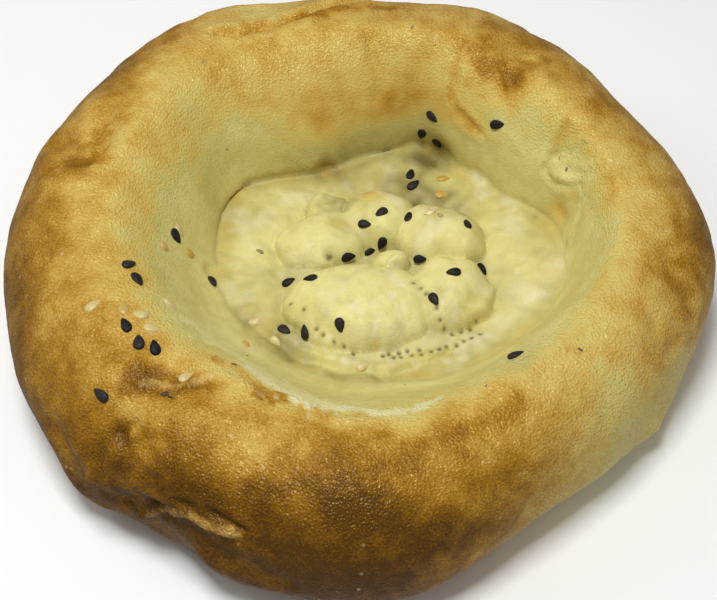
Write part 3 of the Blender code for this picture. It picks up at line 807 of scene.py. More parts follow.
    def level(self, bearing: Array, girth: Array, points: Array) -> Array:
        """How brown each point is.

        Args:
            bearing: Bearings in radians.
            girth: Their girths.
            points: Their points on the bare loaf in mm.

        Returns:
            Levels from 0 to 1.
        """
        degrees = np.degrees(bearing) % 360
        keys = sorted(self.levels)
        start, full, crest, shoulder, side, foot, wall = (
            np.interp(degrees, keys, [self.levels[key][i] for key in keys], period=360) for i in range(7)
        )
        onto_shoulder = np.clip(2 * (girth - 2), 0, 1)
        onto_side = np.clip(2 * (girth - 2) - 1, 0, 1)
        over = crest + (shoulder - crest) * onto_shoulder + (side - shoulder) * onto_side
        baked = over + (foot - side) * np.clip(girth - 3, 0, 1)
        edge = layered(points, self.edge)
        level = baked * smooth(0, 1, (girth + edge - start) / (full - start))
        unbaked = self.floor_level + (wall - self.floor_level) * smooth(*self.wall_girths, girth + edge)
        ring, reach = self.foot_ring
        unbaked += self.foot_shade * bell(girth + 0.5 * edge - ring, reach)
        level = np.maximum(level, unbaked * smooth(*self.floor_girths, girth))
        for layer in self.mottle:
            shown = self.mottle_pale + (1 - self.mottle_pale) * smooth(*self.mottle_levels, level)
            level += layered(points, (layer,)) * shown
        ragged = 1 + layered(points, self.patch_edge)
        level += self.form.spotted(points, self.patches, ragged)
        for streak in self.streaks:
            level += streak.browned * self.strip(streak, points)
        return np.clip(level, 0, 1)

    def strip(self, streak: Streak, points: Array) -> Array:
        """How far each point lies within a streak, whose edge is ragged.

        Args:
            streak: The streak.
            points: Points of the bare loaf in mm.

        Returns:
            Values from 0 to 1.
        """
        ragged = np.maximum(1 + streak.ragged * layered(points, self.streak_edge), self.streak_least)
        distance = path_distance(points, self.form.line(streak.line))
        return 1 - smooth(*self.streak_fade, distance * ragged / streak.half_width)

    def painted_hollow_shade(self, girth: Array, points: Array) -> Array:
        """Painted shade in the hollow and along the wall's foot, with darker flecks over its floor.

        Args:
            girth: The points' girths.
            points: Points of the bare loaf in mm.

        Returns:
            Values that are 0 where no shade is painted and near 1 where the painted shade is deepest.
        """
        ring, reach = self.painted_shade_ring
        painted_shade = self.painted_foot_shade * bell(girth - ring, reach)
        painted_shade += self.form.spotted(points, self.painted_shade)
        flecks = np.clip(layered(points, self.dark_flecks), 0, 1)
        painted_shade += self.dark_fleck_amount * (1 - smooth(*self.dark_fleck_girths, girth)) * flecks
        return painted_shade * (1 + layered(points, self.painted_shade_unevenness))

    def dough(self, girth: Array, points: Array) -> Array:
        """How much whitish, floury dough shows.

        Args:
            girth: The points' girths.
            points: Points of the bare loaf in mm.

        Returns:
            Values from 0 to 1.
        """
        strength, reach = self.band_dough
        dough = strength * bell(path_distance(points, self.form.line(self.dough_band)), reach)
        strength, reach = self.blister_dough
        for blister in self.blisters:
            dough += strength * bell(self.form.distance(points, blister.place), reach)
        for streak in self.streaks:
            dough += streak.dough * self.strip(streak, points)
        patches = smooth(0.0, self.dough_full, layered(points, self.dough_patches))
        patches *= 1 - smooth(*self.dough_girths, girth)
        return np.clip(dough + self.dough_strength * patches, 0, 1)


def ring_faces(inner_start: int, inner: int, outer_start: int, outer: int) -> Faces:
    """Faces between two rings of points.

    Args:
        inner_start: First point of the inner ring.
        inner: How many points it has.
        outer_start: First point of the outer ring.
        outer: How many points it has: as many, or twice as many.

    Returns:
        Faces as point numbers.
    """
    faces: Faces = []
    for i in range(inner):
        here, beside = inner_start + i, inner_start + (i + 1) % inner
        if outer == inner:
            faces.append((here, outer_start + i, outer_start + (i + 1) % outer, beside))
            continue
        first, middle, last = (outer_start + (2 * i + step) % outer for step in range(3))
        faces += [(here, first, middle), (here, middle, beside), (beside, middle, last)]
    return faces


def make_object(name: str, points: Array, faces: Faces, values: dict[str, Array]) -> bpy.types.Object:
    """Makes a smooth mesh with values at its points, and puts it into the scene.

    Args:
        name: Name of the mesh and of its object.
        points: Its points in the frame's metres.
        faces: Its faces as point numbers.
        values: For each attribute that the finish reads, a value at each point.

    Returns:
        The object.
    """
    mesh = bpy.data.meshes.new(name)
    mesh.from_pydata(points.tolist(), [], faces)
    for attribute, at_points in values.items():
        layer = mesh.attributes.new(attribute, "FLOAT", "POINT")
        layer.data.foreach_set("value", at_points.astype(np.float32))
    mesh.update()
    mesh.shade_smooth()
    made = bpy.data.objects.new(name, mesh)
    bpy.context.scene.collection.objects.link(made)
    return made


class Finish(Protocol):
    """What a piece needs of its finish."""

    def material(self) -> bpy.types.Material:
        """Makes the finish's material."""


class Piece:
    """A part of the bread that is built as one mesh and then dressed."""

    def build(self) -> bpy.types.Object:
        """Makes the piece in the frame's metres."""
        raise NotImplementedError

    def dress(self, finish: Finish, slot: str) -> None:
        """Builds the piece, gives it its finish and ties it to the bread that it stands for.

        Args:
            finish: The finish that makes its material.
            slot: The record's material slot; not used.
        """
        piece = self.build()
        piece.data.materials.append(finish.material())
        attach(piece, "root")
        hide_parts("bread")
        log.info("%s: %d faces", piece.name, len(piece.data.polygons))


@dataclass
class Loaf(Piece):
    """The whole crust: its form, its relief and its bake, and the mesh that carries them."""

    form: LoafForm
    stamp: Stamp
    relief: Relief
    bake: Bake
    stamp_step: float = 0.33  # between the rows of points in the stamp, in mm
    stamp_rows: int = 82
    floor_rows: int = 10
    wall_rows: int = 36
    shoulder_rows: int = 42
    side_rows: int = 20
    sole_rows: int = 10
    # Rows with fewer points than a full one: the radius in mm that they end at, and their count of points.
    row_points: tuple[tuple[float, int], ...] = ((3.0, 32), (6.0, 64), (12.0, 128), (20.0, 256))
    full_row: int = 512
    sole_rise: float = 0.35  # how far the sole's own unevenness lifts it off the table, in mm
    sole_unevenness: tuple[Layer, ...] = ((71, 9.0, 0.5),)
    sole_brown: float = 0.5
    sole_skin: float = 0.3
    skin_girths: Pair = (1.2, 1.9)  # over which the damp dough gives way to a dry skin
    slope_reach: float = 0.025  # bearing and girth over which the slope under a seed is worked out

    def surface(self, bearing: Array, girth: Array) -> Array:
        """Points of the finished crust in mm, about the middle of the stamp.

        Args:
            bearing: Bearings in radians.
            girth: Girths from 0 to 4.

        Returns:
            Points with x, y and z along the last axis.
        """
        points = self.form.point(bearing, girth)
        lift = self.relief.height(points, girth)
        points = points + self.form.normal(bearing, girth) * lift[..., None]
        points[..., 2] += np.where(girth < 1, self.stamp.height(points[..., :2], girth), 0)
        return points

    def to_frame(self, points: Array) -> Array:
        """Moves points from the stamp's millimetres to the frame's metres."""
        return (points + np.array([*self.form.stamp_place, 0.0])) * MM

    def rows(self) -> list[tuple[Array, Array]]:
        """Lays out the rows of points, with fewer of them near the centre.

        Returns:
            Bearings and girths of each row, from the centre to the foot.
        """
        rows = []
        for row in range(1, self.stamp_rows + 1):
            radius = row * self.stamp_step
            count = next((points for limit, points in self.row_points if radius < limit), self.full_row)
            bearings = np.arange(count) * 2 * math.pi / count
            rows.append((bearings, radius / self.form.values(bearings)[3]))
        bearings = np.arange(self.full_row) * 2 * math.pi / self.full_row
        edge = self.stamp_rows * self.stamp_step / self.form.values(bearings)[3]
        for share in np.linspace(0, 1, self.floor_rows + 1)[1:]:
            rows.append((bearings, edge + (1 - edge) * share))
        for start, count in ((1, self.wall_rows), (2, self.shoulder_rows), (3, self.side_rows)):
            for share in np.linspace(0, 1, count + 1)[1:]:
                rows.append((bearings, np.full_like(bearings, start + share)))
        return rows

    def sole(self, foot: Array) -> Array:
        """Lays out the underside.

        Args:
            foot: Points of the crust's last row.

        Returns:
            Points of the rings inwards from it, and the middle.
        """
        rings = []
        for row in range(1, self.sole_rows):
            ring = foot * (1 - row / self.sole_rows)
            ring[:, 2] = self.sole_rise * (0.5 + layered(ring, self.sole_unevenness))
            rings.append(ring)
        return np.concatenate([*rings, np.zeros((1, 3))])

    def faces(self, counts: Sequence[int]) -> Faces:
        """Faces of the whole crust: a fan at the centre, rings to the foot and inwards, and a fan below.

        Args:
            counts: How many points each row has, from the centre to the foot.

        Returns:
            Faces as point numbers.
        """
        counts = [*counts, *[self.full_row] * (self.sole_rows - 1)]
        starts = np.concatenate([[1], 1 + np.cumsum(counts)]).tolist()
        faces = [(0, 1 + i, 1 + (i + 1) % counts[0]) for i in range(counts[0])]
        for i, (inner, outer) in enumerate(pairwise(counts)):
            faces += ring_faces(starts[i], inner, starts[i + 1], outer)
        last, middle = starts[-2:]
        faces += [(last + i, middle, last + (i + 1) % self.full_row) for i in range(self.full_row)]
        return faces

    def build(self) -> bpy.types.Object:
        """Makes the crust, with its bake as attributes for the finish.

        Returns:
            The piece, in the frame's metres.
        """
        rows = self.rows()
        bearing = np.concatenate([[0.0], *[row[0] for row in rows]])
        girth = np.concatenate([[0.0], *[row[1] for row in rows]])
        points = self.surface(bearing, girth)
        bare = self.form.point(bearing, girth)
        sole = self.sole(points[-self.full_row :])
        # Painted shade, from the stamp's holes and furrows and from the hollow's shaded places, which the
        # finish mixes in as a darker tone.
        marks = np.clip(self.stamp.marks(points) + self.bake.painted_hollow_shade(girth, bare), 0, 1)
        # Each attribute's values over the crust, and its one value on the sole.
        values = {
            "browned": (self.bake.level(bearing, girth, bare), self.sole_brown),
            "dough": (self.bake.dough(girth, bare), 0.0),
            "marks": (marks, 0.0),
            "skin": (smooth(*self.skin_girths, girth), self.sole_skin),
        }
        attributes = {
            name: np.concatenate([over, np.full(len(sole), under)]) for name, (over, under) in values.items()
        }
        places = self.to_frame(np.concatenate([points, sole]))
        return make_object("crust", places, self.faces([len(row[0]) for row in rows]), attributes)

    def resting(self, bearing: float, girth: float, heading: float) -> tuple[Vector, Matrix]:
        """Where something lies on the crust, and how it is turned.

        Args:
            bearing: Bearing in degrees.
            girth: Girth.
            heading: Which way it points, in degrees from +X, as the surface is looked at.

        Returns:
            The point in mm, and the turn whose Z is the crust's own slope.
        """
        reach = self.slope_reach
        angle = math.radians(bearing)
        bearings = np.array([angle, angle + reach, angle - reach, angle, angle])
        girths = np.array([girth, girth, girth, girth + reach, girth - reach])
        here, left, right, outwards, inwards = self.surface(bearings, girths)
        up = Vector(np.cross(outwards - inwards, left - right)).normalized()
        east = Vector((1, 0, 0))
        east = (east - up * east.dot(up)).normalized()
        north = up.cross(east)
        turn = math.radians(heading)
        ahead = east * math.cos(turn) + north * math.sin(turn)
        return Vector(here), Matrix((ahead, up.cross(ahead), up)).transposed()


class Sesame(Enum):
    """Kinds of sesame on the bread: how far a seed's middle stands over the crust, in thicknesses."""

    BLACK = 0.12
    WHITE = -0.16


@dataclass(frozen=True)
class SeedShape:
    """One sesame seed: flat, round at one end and pointed at the other. Lengths are in mm."""

    length: float = 3.4
    width: float = 2.1
    thickness: float = 1.1
    taper: float = 0.34
    waist: float = 0.12  # how much slimmer both ends are than an even swell
    bluntness: float = 0.9  # below 1 the ends are blunter than a ball's
    edge: float = 0.8  # below 1 the edge is squarer than a ball's
    scales: Pair = (0.92, 1.06)  # within which one seed's length, width and thickness differ from these
    bend: float = 0.12
    sides: int = 16
    rows: int = 11

    def shell(self, draw: np.random.Generator) -> tuple[Array, Faces]:
        """Points and faces of a seed that lies along X, a little unlike the next one.

        Args:
            draw: Source of its unevenness.

        Returns:
            Points in mm, and faces as point numbers.
        """
        scale = draw.uniform(*self.scales, 3)
        bend = draw.uniform(-self.bend, self.bend)
        points = []
        for row in range(1, self.rows + 1):
            turn = math.pi * row / (self.rows + 1)
            along = -math.cos(turn)
            taper = 1 - self.taper * along - self.waist * along * along
            swell = math.sin(turn) ** self.bluntness * taper
            for side in range(self.sides):
                angle = 2 * math.pi * side / self.sides
                across = math.cos(angle) * swell * self.width / 2
                flat = math.copysign(abs(math.sin(angle)) ** self.edge, math.sin(angle))
                up = flat * swell * self.thickness / 2
                points.append((along * self.length / 2, across + bend * (1 - along * along), up))
        points.append((-self.length / 2, 0, 0))
        points.append((self.length / 2, 0, 0))
        blunt, tip = len(points) - 2, len(points) - 1
        faces = []
        for row in range(self.rows - 1):
            faces += ring_faces(row * self.sides, self.sides, (row + 1) * self.sides, self.sides)
        last = (self.rows - 1) * self.sides
        for i in range(self.sides):
            j = (i + 1) % self.sides
            faces.append((blunt, i, j))
            faces.append((tip, last + j, last + i))
        return np.array(points) * scale, faces


@dataclass
class Seeds(Piece):
    """All the seeds of one kind, as one piece."""

    name: str
    kind: Sesame
    loaf: Loaf
    spots: Sequence[tuple[float, ...]]  # bearing, girth, heading and, where it is set, the seed's shade
    shape: SeedShape = SeedShape()
    seed: int = 5
    rim_size: float = 1.1  # those on the rim are a little larger than those in the stamp
    rim_girth: float = 1.2  # where the rim starts
    rocking: Pair = (0.10, 0.07)  # how far they roll and pitch, in radians

    def build(self) -> bpy.types.Object:
        """Makes the seeds where they lie.

        Returns:
            The piece, in the frame's metres.
        """
        draw = np.random.default_rng(self.seed)
        points: list[Array] = []
        faces: Faces = []
        shades: list[Array] = []
        for bearing, girth, heading, *shade in self.spots:
            shell, shell_faces = self.shape.shell(draw)
            shell *= self.rim_size if girth > self.rim_girth else 1.0
            middle, turn = self.loaf.resting(bearing, girth, heading)
            roll, pitch = (Matrix.Rotation(draw.normal(0, r), 3, axis) for r, axis in zip(self.rocking, "XY"))
            placed = shell @ np.array(turn @ (roll @ pitch)).T + np.array(middle)
            placed += np.array(turn.col[2]) * self.kind.value * self.shape.thickness
            first = sum(len(part) for part in points)
            faces += [tuple(first + i for i in face) for face in shell_faces]
            points.append(placed)
            shades.append(np.full(len(placed), shade[0] if shade else draw.uniform()))
        places = self.loaf.to_frame(np.concatenate(points))
        return make_object(self.name, places, faces, {"shade": np.concatenate(shades)})


@dataclass(frozen=True)
class Bit:
    """A scorched fleck or a flake of crumb, its length in mm and its shade from char at 0 to crumb at 1."""

    place: Place
    length: float
    heading: float
    shade: float


@dataclass
class Bits(Piece):
    """Flecks and flakes that lie on the crust."""

    loaf: Loaf
    flecks: tuple[Bit, ...] = (
        Bit((228.0, 2.148), 2.3, 20, 0.0),
        Bit((229.2, 2.150), 1.2, -20, 0.0),
        Bit((232.5, 1.736), 1.3, 10, 0.1),
        Bit((223.0, 1.300), 0.9, 60, 0.2),
        Bit((317.0, 2.096), 1.3, -40, 0.1),
        Bit((294.0, 1.908), 0.8, 80, 0.2),
        Bit((279.0, 1.124), 0.6, 80, 0.2),
        Bit((133.5, 2.004), 0.9, 60, 0.3),
        Bit((140.5, 1.328), 0.9, 20, 0.3),
        Bit((82.0, 1.976), 1.1, 60, 0.3),
        Bit((25.5, 1.484), 1.4, 80, 0.2),
        Bit((29.0, 1.512), 1.0, 60, 0.3),
        Bit((165.0, 0.728), 1.9, -30, 0.3),
        Bit((51.5, 0.464), 2.6, 10, 1.0),
        Bit((50.5, 0.512), 1.6, 60, 0.8),
        Bit((43.5, 0.488), 2.0, -50, 0.45),
    )
    sides: int = 9
    rings: int = 5
    breadth: float = 0.55  # share of the length
    thickness: float = 0.35
    raggedness: Pair = (0.75, 1.15)
    seed: int = 17

    def build(self) -> bpy.types.Object:
        """Joins the flecks and flakes to one mesh, each with its shade.

        Returns:
            The piece, in the frame's metres.
        """
        draw = np.random.default_rng(self.seed)
        points: list[Vector] = []
        faces: Faces = []
        shades: list[float] = []
        for bit in self.flecks:
            middle, turn = self.loaf.resting(*bit.place, bit.heading)
            start = len(points)
            for ring in range(self.rings + 1):
                tilt = math.pi * ring / self.rings
                for side in range(self.sides):
                    angle = 2 * math.pi * side / self.sides
                    size = bit.length / 2 * draw.uniform(*self.raggedness)
                    along = size * math.cos(tilt)
                    across = size * self.breadth * math.sin(tilt) * math.cos(angle)
                    up = size * self.thickness * math.sin(tilt) * math.sin(angle)
                    points.append(middle + turn @ Vector((along, across, up)))
                    shades.append(bit.shade)
            for ring in range(self.rings):
                inner = start + ring * self.sides
                faces += ring_faces(inner, self.sides, inner + self.sides, self.sides)
        return make_object("bits", self.loaf.to_frame(np.array(points)), faces, {"shade": np.array(shades)})


def add_node(
    tree: bpy.types.NodeTree, kind: str, inputs: dict[Any, Any] | None = None, **settings: Any
) -> bpy.types.Node:
    """Adds a shader node with its settings and links.

    Args:
        tree: The material's nodes.
        kind: The node's type.
        inputs: For each input, its value or the output that feeds it.
        settings: The node's own settings.

    Returns:
        The node.
    """
    node = tree.nodes.new(kind)
    for name, value in settings.items():
        setattr(node, name, value)
    for socket, value in (inputs or {}).items():
        if isinstance(value, bpy.types.NodeSocket):
            tree.links.new(value, node.inputs[socket])
        else:
            node.inputs[socket].default_value = value
    return node


def per_metre(size_mm: float) -> float:
    """Texture scale that makes a pattern's cell this many millimetres wide."""
    return 1 / (size_mm * MM)


def new_material(name: str) -> tuple[bpy.types.Material, bpy.types.NodeTree, bpy.types.Node]:
    """Starts a material.

    Args:
        name: The finish's name.

    Returns:
        The material, its nodes and its shader.
    """
    material = bpy.data.materials.new(name)
    material.use_nodes = True
    return material, material.node_tree, material.node_tree.nodes["Principled BSDF"]


@dataclass(frozen=True)
class BakedCrustFinish:
    """Wheat crust, washed before baking and browned in a clay oven.

    The wash and the heat give a dry, finely wrinkled skin with a soft, faintly golden shine, browned in
    clouds. In the stamped hollow, which the heat reached least, the dough stays pale, damp and dull.
    """

    ior: float = 1.45
    shine: float = 0.45
    sheen_tone: Tone = Tone.BROWNED_FAT
    roughness: Pair = (0.44, 0.60)  # in the hollow
    roughness_clouds: Pair = (0.3, 0.7)  # values of the blotches that it runs between
    rim_smoothness: float = 0.20  # how much smoother the washed and browned rim is
    blotch_mm: float = 2.6  # clouds of browning
    blotch_amount: float = 0.22
    wrinkle_mm: float = 0.9
    wrinkle_share: float = 0.45
    wrinkle_curl: float = 0.8
    # The skin's grain is as fine as flour, 0.1 mm, and is drawn at 0.5 mm so that it shows.
    grain_mm: float = 0.5
    grain_amount: float = 0.36
    relief_mm: float = 0.32
    hollow_relief: float = 0.28  # share of the relief that is left in the hollow
    speck_mm: float = 6.0  # distance between the smallest pale blisters
    speck_reach: Pair = (0.03, 0.09)  # in those distances
    speck_amount: float = 0.5
    fine_detail: float = 2.0
    cloud_detail: float = 3.0
    tones: tuple[tuple[float, Tone], ...] = (
        (0.00, Tone.PALE_CRUST),
        (0.20, Tone.OLIVE_CRUST),
        (0.30, Tone.STRAW),
        (0.42, Tone.HONEY),
        (0.56, Tone.GOLD),
        (0.70, Tone.AMBER),
        (0.85, Tone.BROWN),
        (1.00, Tone.SCORCH),
    )

    def material(self) -> bpy.types.Material:
        """Makes the crust's material.

        Returns:
            The material, with all that the bake's attributes drive.
        """
        material, tree, shader = new_material("baked_crust")
        place = add_node(tree, "ShaderNodeTexCoord").outputs["Object"]
        skin = add_node(tree, "ShaderNodeAttribute", attribute_name="skin").outputs["Fac"]
        blotch = add_node(
            tree,
            "ShaderNodeTexNoise",
            {"Vector": place, "Scale": per_metre(self.blotch_mm), "Detail": self.cloud_detail},
        ).outputs["Fac"]
        self.colour(tree, shader, place, skin, blotch)
        self.relief(tree, shader, place, skin)
        low, high = self.roughness_clouds
        rough = add_node(
            tree,
            "ShaderNodeMapRange",
            {
                "Value": blotch,
                "From Min": low,
                "From Max": high,
                "To Min": self.roughness[0],
                "To Max": self.roughness[1],
            },
        ).outputs[0]
        smoother = {0: skin, 1: -self.rim_smoothness, 2: rough}
        gloss = add_node(tree, "ShaderNodeMath", smoother, operation="MULTIPLY_ADD")
        tree.links.new(gloss.outputs[0], shader.inputs["Roughness"])
        shader.inputs["IOR"].default_value = self.ior
        shader.inputs["Specular IOR Level"].default_value = self.shine
        shader.inputs["Specular Tint"].default_value = linear(self.sheen_tone)
        return material

    def colour(
        self,
        tree: bpy.types.NodeTree,
        shader: bpy.types.Node,
        place: bpy.types.NodeSocket,
        skin: bpy.types.NodeSocket,
        blotch: bpy.types.NodeSocket,
    ) -> None:
        """Colours the crust by its browning, its floury dough, its pale specks and the painted shade of its
        holes, furrows and hollow.

        Args:
            tree: The material's nodes.
            shader: The material's shader.
            place: The point in the object's own coordinates.
            skin: How dry and browned the skin is.
            blotch: The clouds of browning.
        """
        browned, dough, marks = (
            add_node(tree, "ShaderNodeAttribute", attribute_name=name).outputs["Fac"]
            for name in ("browned", "dough", "marks")
        )
        grain = add_node(
            tree,
            "ShaderNodeTexNoise",
            {"Vector": place, "Scale": per_metre(self.grain_mm), "Detail": self.fine_detail},
        ).outputs["Fac"]
        clouds = add_node(tree, "ShaderNodeMath", {0: blotch, 1: 0.5}, operation="SUBTRACT").outputs[0]
        level = add_node(
            tree, "ShaderNodeMath", {0: clouds, 1: self.blotch_amount, 2: browned}, operation="MULTIPLY_ADD"
        ).outputs[0]
        grain = add_node(tree, "ShaderNodeMath", {0: grain, 1: 0.5}, operation="SUBTRACT").outputs[0]
        grain = add_node(tree, "ShaderNodeMath", {0: grain, 1: skin}, operation="MULTIPLY").outputs[0]
        level = add_node(
            tree, "ShaderNodeMath", {0: grain, 1: self.grain_amount, 2: level}, operation="MULTIPLY_ADD"
        ).outputs[0]
        ramp = add_node(tree, "ShaderNodeValToRGB", {"Fac": level})
        elements = ramp.color_ramp.elements
        while len(elements) < len(self.tones):
            elements.new(0.5)
        for element, (position, tone) in zip(elements, self.tones):
            element.position = position
            element.color = linear(tone)
        cells = add_node(tree, "ShaderNodeTexVoronoi", {"Vector": place, "Scale": per_metre(self.speck_mm)})
        near, far = self.speck_reach
        specks = add_node(
            tree,
            "ShaderNodeMapRange",
            {
                "Value": cells.outputs["Distance"],
                "From Min": near,
                "From Max": far,
                "To Min": self.speck_amount,
                "To Max": 0.0,
            },
        ).outputs[0]
        specks = add_node(tree, "ShaderNodeMath", {0: specks, 1: skin}, operation="MULTIPLY").outputs[0]
        colour = ramp.outputs["Color"]
        # The last mix paints shade: the crust is darkened towards the shade tone where the marks attribute
        # says.
        for share, tone in ((dough, Tone.RAW_DOUGH), (specks, Tone.BLISTER), (marks, Tone.PAINTED_SHADE)):
            mixed = {"Factor": share, "A": colour, "B": linear(tone)}
            colour = add_node(tree, "ShaderNodeMix", mixed, data_type="RGBA").outputs["Result"]
        tree.links.new(colour, shader.inputs["Base Color"])

    def relief(
        self,
        tree: bpy.types.NodeTree,
        shader: bpy.types.Node,
        place: bpy.types.NodeSocket,
        skin: bpy.types.NodeSocket,
    ) -> None:
        """Gives the crust the relief that is too fine for its mesh: ridged wrinkles and a pitted grain.

        Args:
            tree: The material's nodes.
            shader: The material's shader.
            place: The point in the object's own coordinates.
            skin: How dry and browned the skin is.
        """
        wrinkles = add_node(
            tree,
            "ShaderNodeTexNoise",
            {
                "Vector": place,
                "Scale": per_metre(self.wrinkle_mm),
                "Detail": self.cloud_detail,
                "Distortion": self.wrinkle_curl,
            },
            noise_type="RIDGED_MULTIFRACTAL",
        ).outputs["Fac"]
        cells = add_node(
            tree,
            "ShaderNodeTexVoronoi",
            {"Vector": place, "Scale": per_metre(self.grain_mm)},
            feature="SMOOTH_F1",
        ).outputs["Distance"]
        height = add_node(
            tree, "ShaderNodeMath", {0: wrinkles, 1: self.wrinkle_share, 2: cells}, operation="MULTIPLY_ADD"
        ).outputs[0]
        strength = add_node(
            tree, "ShaderNodeMapRange", {"Value": skin, "To Min": self.hollow_relief, "To Max": 1.0}
        ).outputs[0]
        bump = add_node(
            tree,
            "ShaderNodeBump",
            {"Height": height, "Strength": strength, "Distance": self.relief_mm * MM},
        )
        tree.links.new(bump.outputs["Normal"], shader.inputs["Normal"])


@dataclass(frozen=True)
class SesameFinish:
    """Seed coat of sesame, or another dry fleck: a faintly pitted skin that is as shiny as its kind."""

    name: str
    tones: tuple[Tone, Tone]
    roughness: float
    shine: float = 0.5
    ior: float = 1.47
    # The coat's pits are 0.1 mm wide and are drawn at 0.35 mm so that they show.
    pit_mm: float = 0.35
    pit_depth_mm: float = 0.03
    pit_strength: float = 0.6
    pit_detail: float = 2.0
    pit_shade: float = 0.5  # how far the pits move the colour between the two tones

    def material(self) -> bpy.types.Material:
        """Makes the material of one kind of seed or fleck.

        Returns:
            The material, whose colour runs between its two tones by each seed's shade.
        """
        material, tree, shader = new_material(self.name)
        place = add_node(tree, "ShaderNodeTexCoord").outputs["Object"]
        shade = add_node(tree, "ShaderNodeAttribute", attribute_name="shade").outputs["Fac"]
        pits = add_node(
            tree,
            "ShaderNodeTexNoise",
            {"Vector": place, "Scale": per_metre(self.pit_mm), "Detail": self.pit_detail},
        ).outputs["Fac"]
        mixed = add_node(
            tree,
            "ShaderNodeMath",
            {0: pits, 1: self.pit_shade, 2: -self.pit_shade / 2},
            operation="MULTIPLY_ADD",
        ).outputs[0]
        share = add_node(tree, "ShaderNodeMath", {0: mixed, 1: shade}, operation="ADD", use_clamp=True)
        first, second = map(linear, self.tones)
        blend = {"Factor": share.outputs[0], "A": first, "B": second}
        colour = add_node(tree, "ShaderNodeMix", blend, data_type="RGBA")
        tree.links.new(colour.outputs["Result"], shader.inputs["Base Color"])
        bump = add_node(
            tree,
            "ShaderNodeBump",
            {"Height": pits, "Strength": self.pit_strength, "Distance": self.pit_depth_mm * MM},
        )
        tree.links.new(bump.outputs["Normal"], shader.inputs["Normal"])
        shader.inputs["Roughness"].default_value = self.roughness
        shader.inputs["IOR"].default_value = self.ior
        shader.inputs["Specular IOR Level"].default_value = self.shine
        return material


# Burnt flour and dry crumb: rough and dull.
SCORCHED_CRUMB = SesameFinish("scorched_crumb", (Tone.CHAR, Tone.CRUMB), 0.6)
# Sesame with its coat left on: nearly black, with a low, broad sheen.
BLACK_SESAME = SesameFinish("black_sesame_coat", (Tone.BLACK_SEED, Tone.BLACK_SEED_EDGE), 0.55, 0.22)
# Hulled and toasted sesame: pale to amber, with a small oily shine.
WHITE_SESAME = SesameFinish("white_sesame_kernel", (Tone.WHITE_SEED, Tone.AMBER_SEED), 0.38)


@dataclass(frozen=True)
class Studio:
    """A plain pale floor under soft light, and a camera where the photograph was taken from."""

    distance: float = 370.0 * MM
    elevation: float = 51.0
    aim: tuple[float, float, float] = (-0.31 * MM, -8.95 * MM, 18.0 * MM)
    sensor: float = 36.0
    lens: float = 83.04
    clip_start: float = 0.01
    floor_size: float = 3.0
    floor_roughness: float = 0.9
    daylight: float = 0.24
    # Soft lamps: name, place in metres, length of the side in metres and power in watts.
    lamps: tuple[tuple[str, tuple[float, float, float], float, float], ...] = (
        ("ceiling", (-0.08, -0.08, 0.66), 0.20, 3.35),
        ("window", (-0.50, 0.12, 0.42), 0.36, 0.60),
        ("fill", (0.42, -0.40, 0.26), 0.40, 0.26),
    )

    def build(self) -> None:
        """Makes the floor, the lights and the camera."""
        self.lay_floor()
        self.let_daylight_in()
        for lamp in self.lamps:
            self.hang(*lamp)
        self.set_camera()

    def lay_floor(self) -> None:
        """Lays matt white paper, which gives no shine and no edge to see."""
        half = self.floor_size / 2
        places = np.array([(-half, -half, 0), (half, -half, 0), (half, half, 0), (-half, half, 0)])
        floor = make_object("floor", places, [(0, 1, 2, 3)], {})
        material, _, shader = new_material("matt_paper")
        shader.inputs["Base Color"].default_value = linear(Tone.STUDIO_WHITE)
        shader.inputs["Roughness"].default_value = self.floor_roughness
        floor.data.materials.append(material)
        floor.visible_glossy = False  # the crust shows no reflection of it

    def let_daylight_in(self) -> None:
        """Lights everything faintly from all sides."""
        world = bpy.data.worlds.new("daylight")
        world.use_nodes = True
        background = world.node_tree.nodes["Background"]
        background.inputs["Color"].default_value = (1.0, 1.0, 1.0, 1.0)
        background.inputs["Strength"].default_value = self.daylight
        bpy.context.scene.world = world

    def hang(self, name: str, place: tuple[float, float, float], size: float, power: float) -> None:
        """Hangs one soft lamp that faces the bread.

        Args:
            name: The lamp's name.
            place: Where it hangs, in metres.
            size: Length of its side.
            power: Its power in watts.
        """
        lamp = bpy.data.lights.new(name, "AREA")
        lamp.energy = power
        lamp.size = size
        made = bpy.data.objects.new(name, lamp)
        made.location = place
        made.rotation_euler = (-Vector(place)).to_track_quat("-Z", "Y").to_euler()
        bpy.context.scene.collection.objects.link(made)

    def set_camera(self) -> None:
        """Puts the camera in front of the bread and above it, looking down at its middle."""
        camera = bpy.data.objects.new("camera", bpy.data.cameras.new("camera"))
        camera.data.sensor_width = self.sensor
        camera.data.lens = self.lens
        camera.data.clip_start = self.clip_start
        tilt = math.radians(self.elevation)
        back = Vector((0, -math.cos(tilt), math.sin(tilt)))
        camera.location = Vector(self.aim) + back * self.distance
        camera.rotation_euler = (math.radians(90) - tilt, 0, 0)
        bpy.context.scene.collection.objects.link(camera)
        bpy.context.scene.camera = camera
        bpy.context.scene.view_settings.view_transform = "Standard"


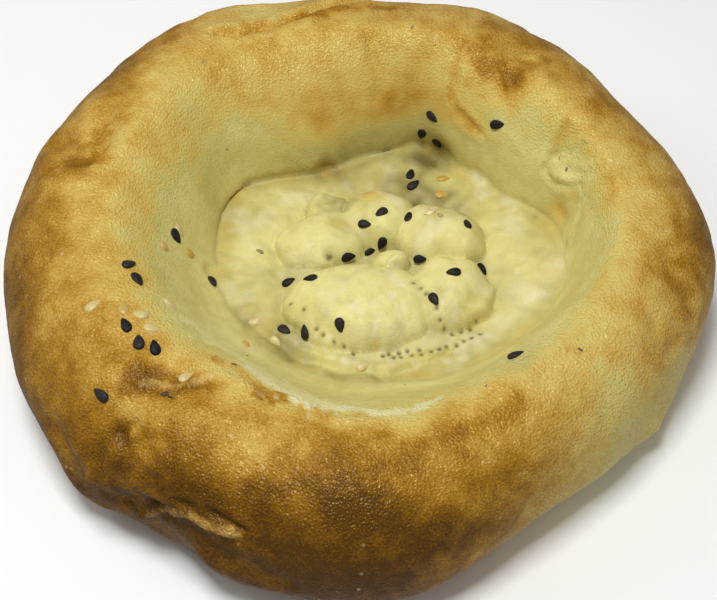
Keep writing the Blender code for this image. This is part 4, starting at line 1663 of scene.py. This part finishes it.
# Where the seeds lie: x and y over the loaf in mm, and the heading of the pointed end in degrees.
BLACK_ON_TOP = (
    (-46.0, 2.6, -35), (-53.9, -15.4, 38), (-51.9, -19.4, -57), (-38.5, -2.3, -60),
    (-52.8, -33.0, 115), (-49.8, -37.2, 95), (-46.4, -38.3, 105), (-56.5, -47.5, 140),
    (-21.0, -0.2, 20), (-15.9, -3.2, 175), (-21.6, -15.1, -35), (-16.9, -16.3, 100),
    (-9.1, -16.1, -80), (-7.4, 5.2, 5), (-2.3, 9.2, 40), (0.4, 9.9, -110), (-3.6, 12.8, -5),
    (0.3, 15.6, -140), (6.7, 15.9, 80), (20.0, 10.6, 100), (9.2, 4.1, 5), (16.4, -3.1, 190),
    (23.5, 3.5, -60), (11.8, -10.2, -60), (27.7, -38.2, 10), (7.6, 34.1, 78), (8.2, 30.5, 40),
)
# On the back wall: bearing, girth and heading.
BLACK_ON_WALL = ((76.5, 1.104, -100), (72.5, 1.052, -60), (73.0, 1.28, -30), (51.0, 1.448, 12))
# The pale seeds' last value is how amber they baked.
WHITE_ON_TOP = (
    (-45.3, 4.8, -35, 0.20), (-43.0, 1.6, 5, 0.90), (-47.7, -2.8, 10, 0.60), (-45.1, -22.6, 5, 0.10),
    (-60.0, -27.5, 40, 0.35), (-53.6, -28.4, 100, 0.80), (-47.4, -33.2, 0, 0.30),
    (-50.2, -29.9, 170, 0.25), (-39.5, -44.6, 32, 0.35), (-28.3, -12.2, 20, 0.20),
    (-23.4, -17.4, -40, 0.00), (-29.9, -20.8, 100, 0.80), (-4.0, -24.2, 30, 0.20),
    (15.5, 33.0, 0, 0.95), (15.0, 27.6, 0, 0.90), (13.0, 17.0, 20, 0.20),
)


def corners(box: Sequence[Vector]) -> list[list[float]]:
    """A box's two corners as plain lists."""
    return [list(map(float, corner)) for corner in box]


def main() -> None:
    """Builds the studio, the crust and the seeds."""
    logging.basicConfig(level=logging.INFO)
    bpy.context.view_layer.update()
    Studio().build()
    form = LoafForm()
    loaf = Loaf(form, Stamp(), Relief(form), Bake(form))
    loaf.dress(BakedCrustFinish(), "crust")
    black = [(*form.on_top(x, y), heading) for x, y, heading in BLACK_ON_TOP]
    black_seeds = Seeds("black_seeds", Sesame.BLACK, loaf, [*black, *BLACK_ON_WALL])
    black_seeds.dress(BLACK_SESAME, "black_sesame")
    white = [(*form.on_top(x, y), heading, amber) for x, y, heading, amber in WHITE_ON_TOP]
    white_seeds = Seeds("white_seeds", Sesame.WHITE, loaf, white, seed=6)
    white_seeds.dress(WHITE_SESAME, "white_sesame")
    Bits(loaf).dress(SCORCHED_CRUMB, "crust")


if __name__ == "__main__":
    main()
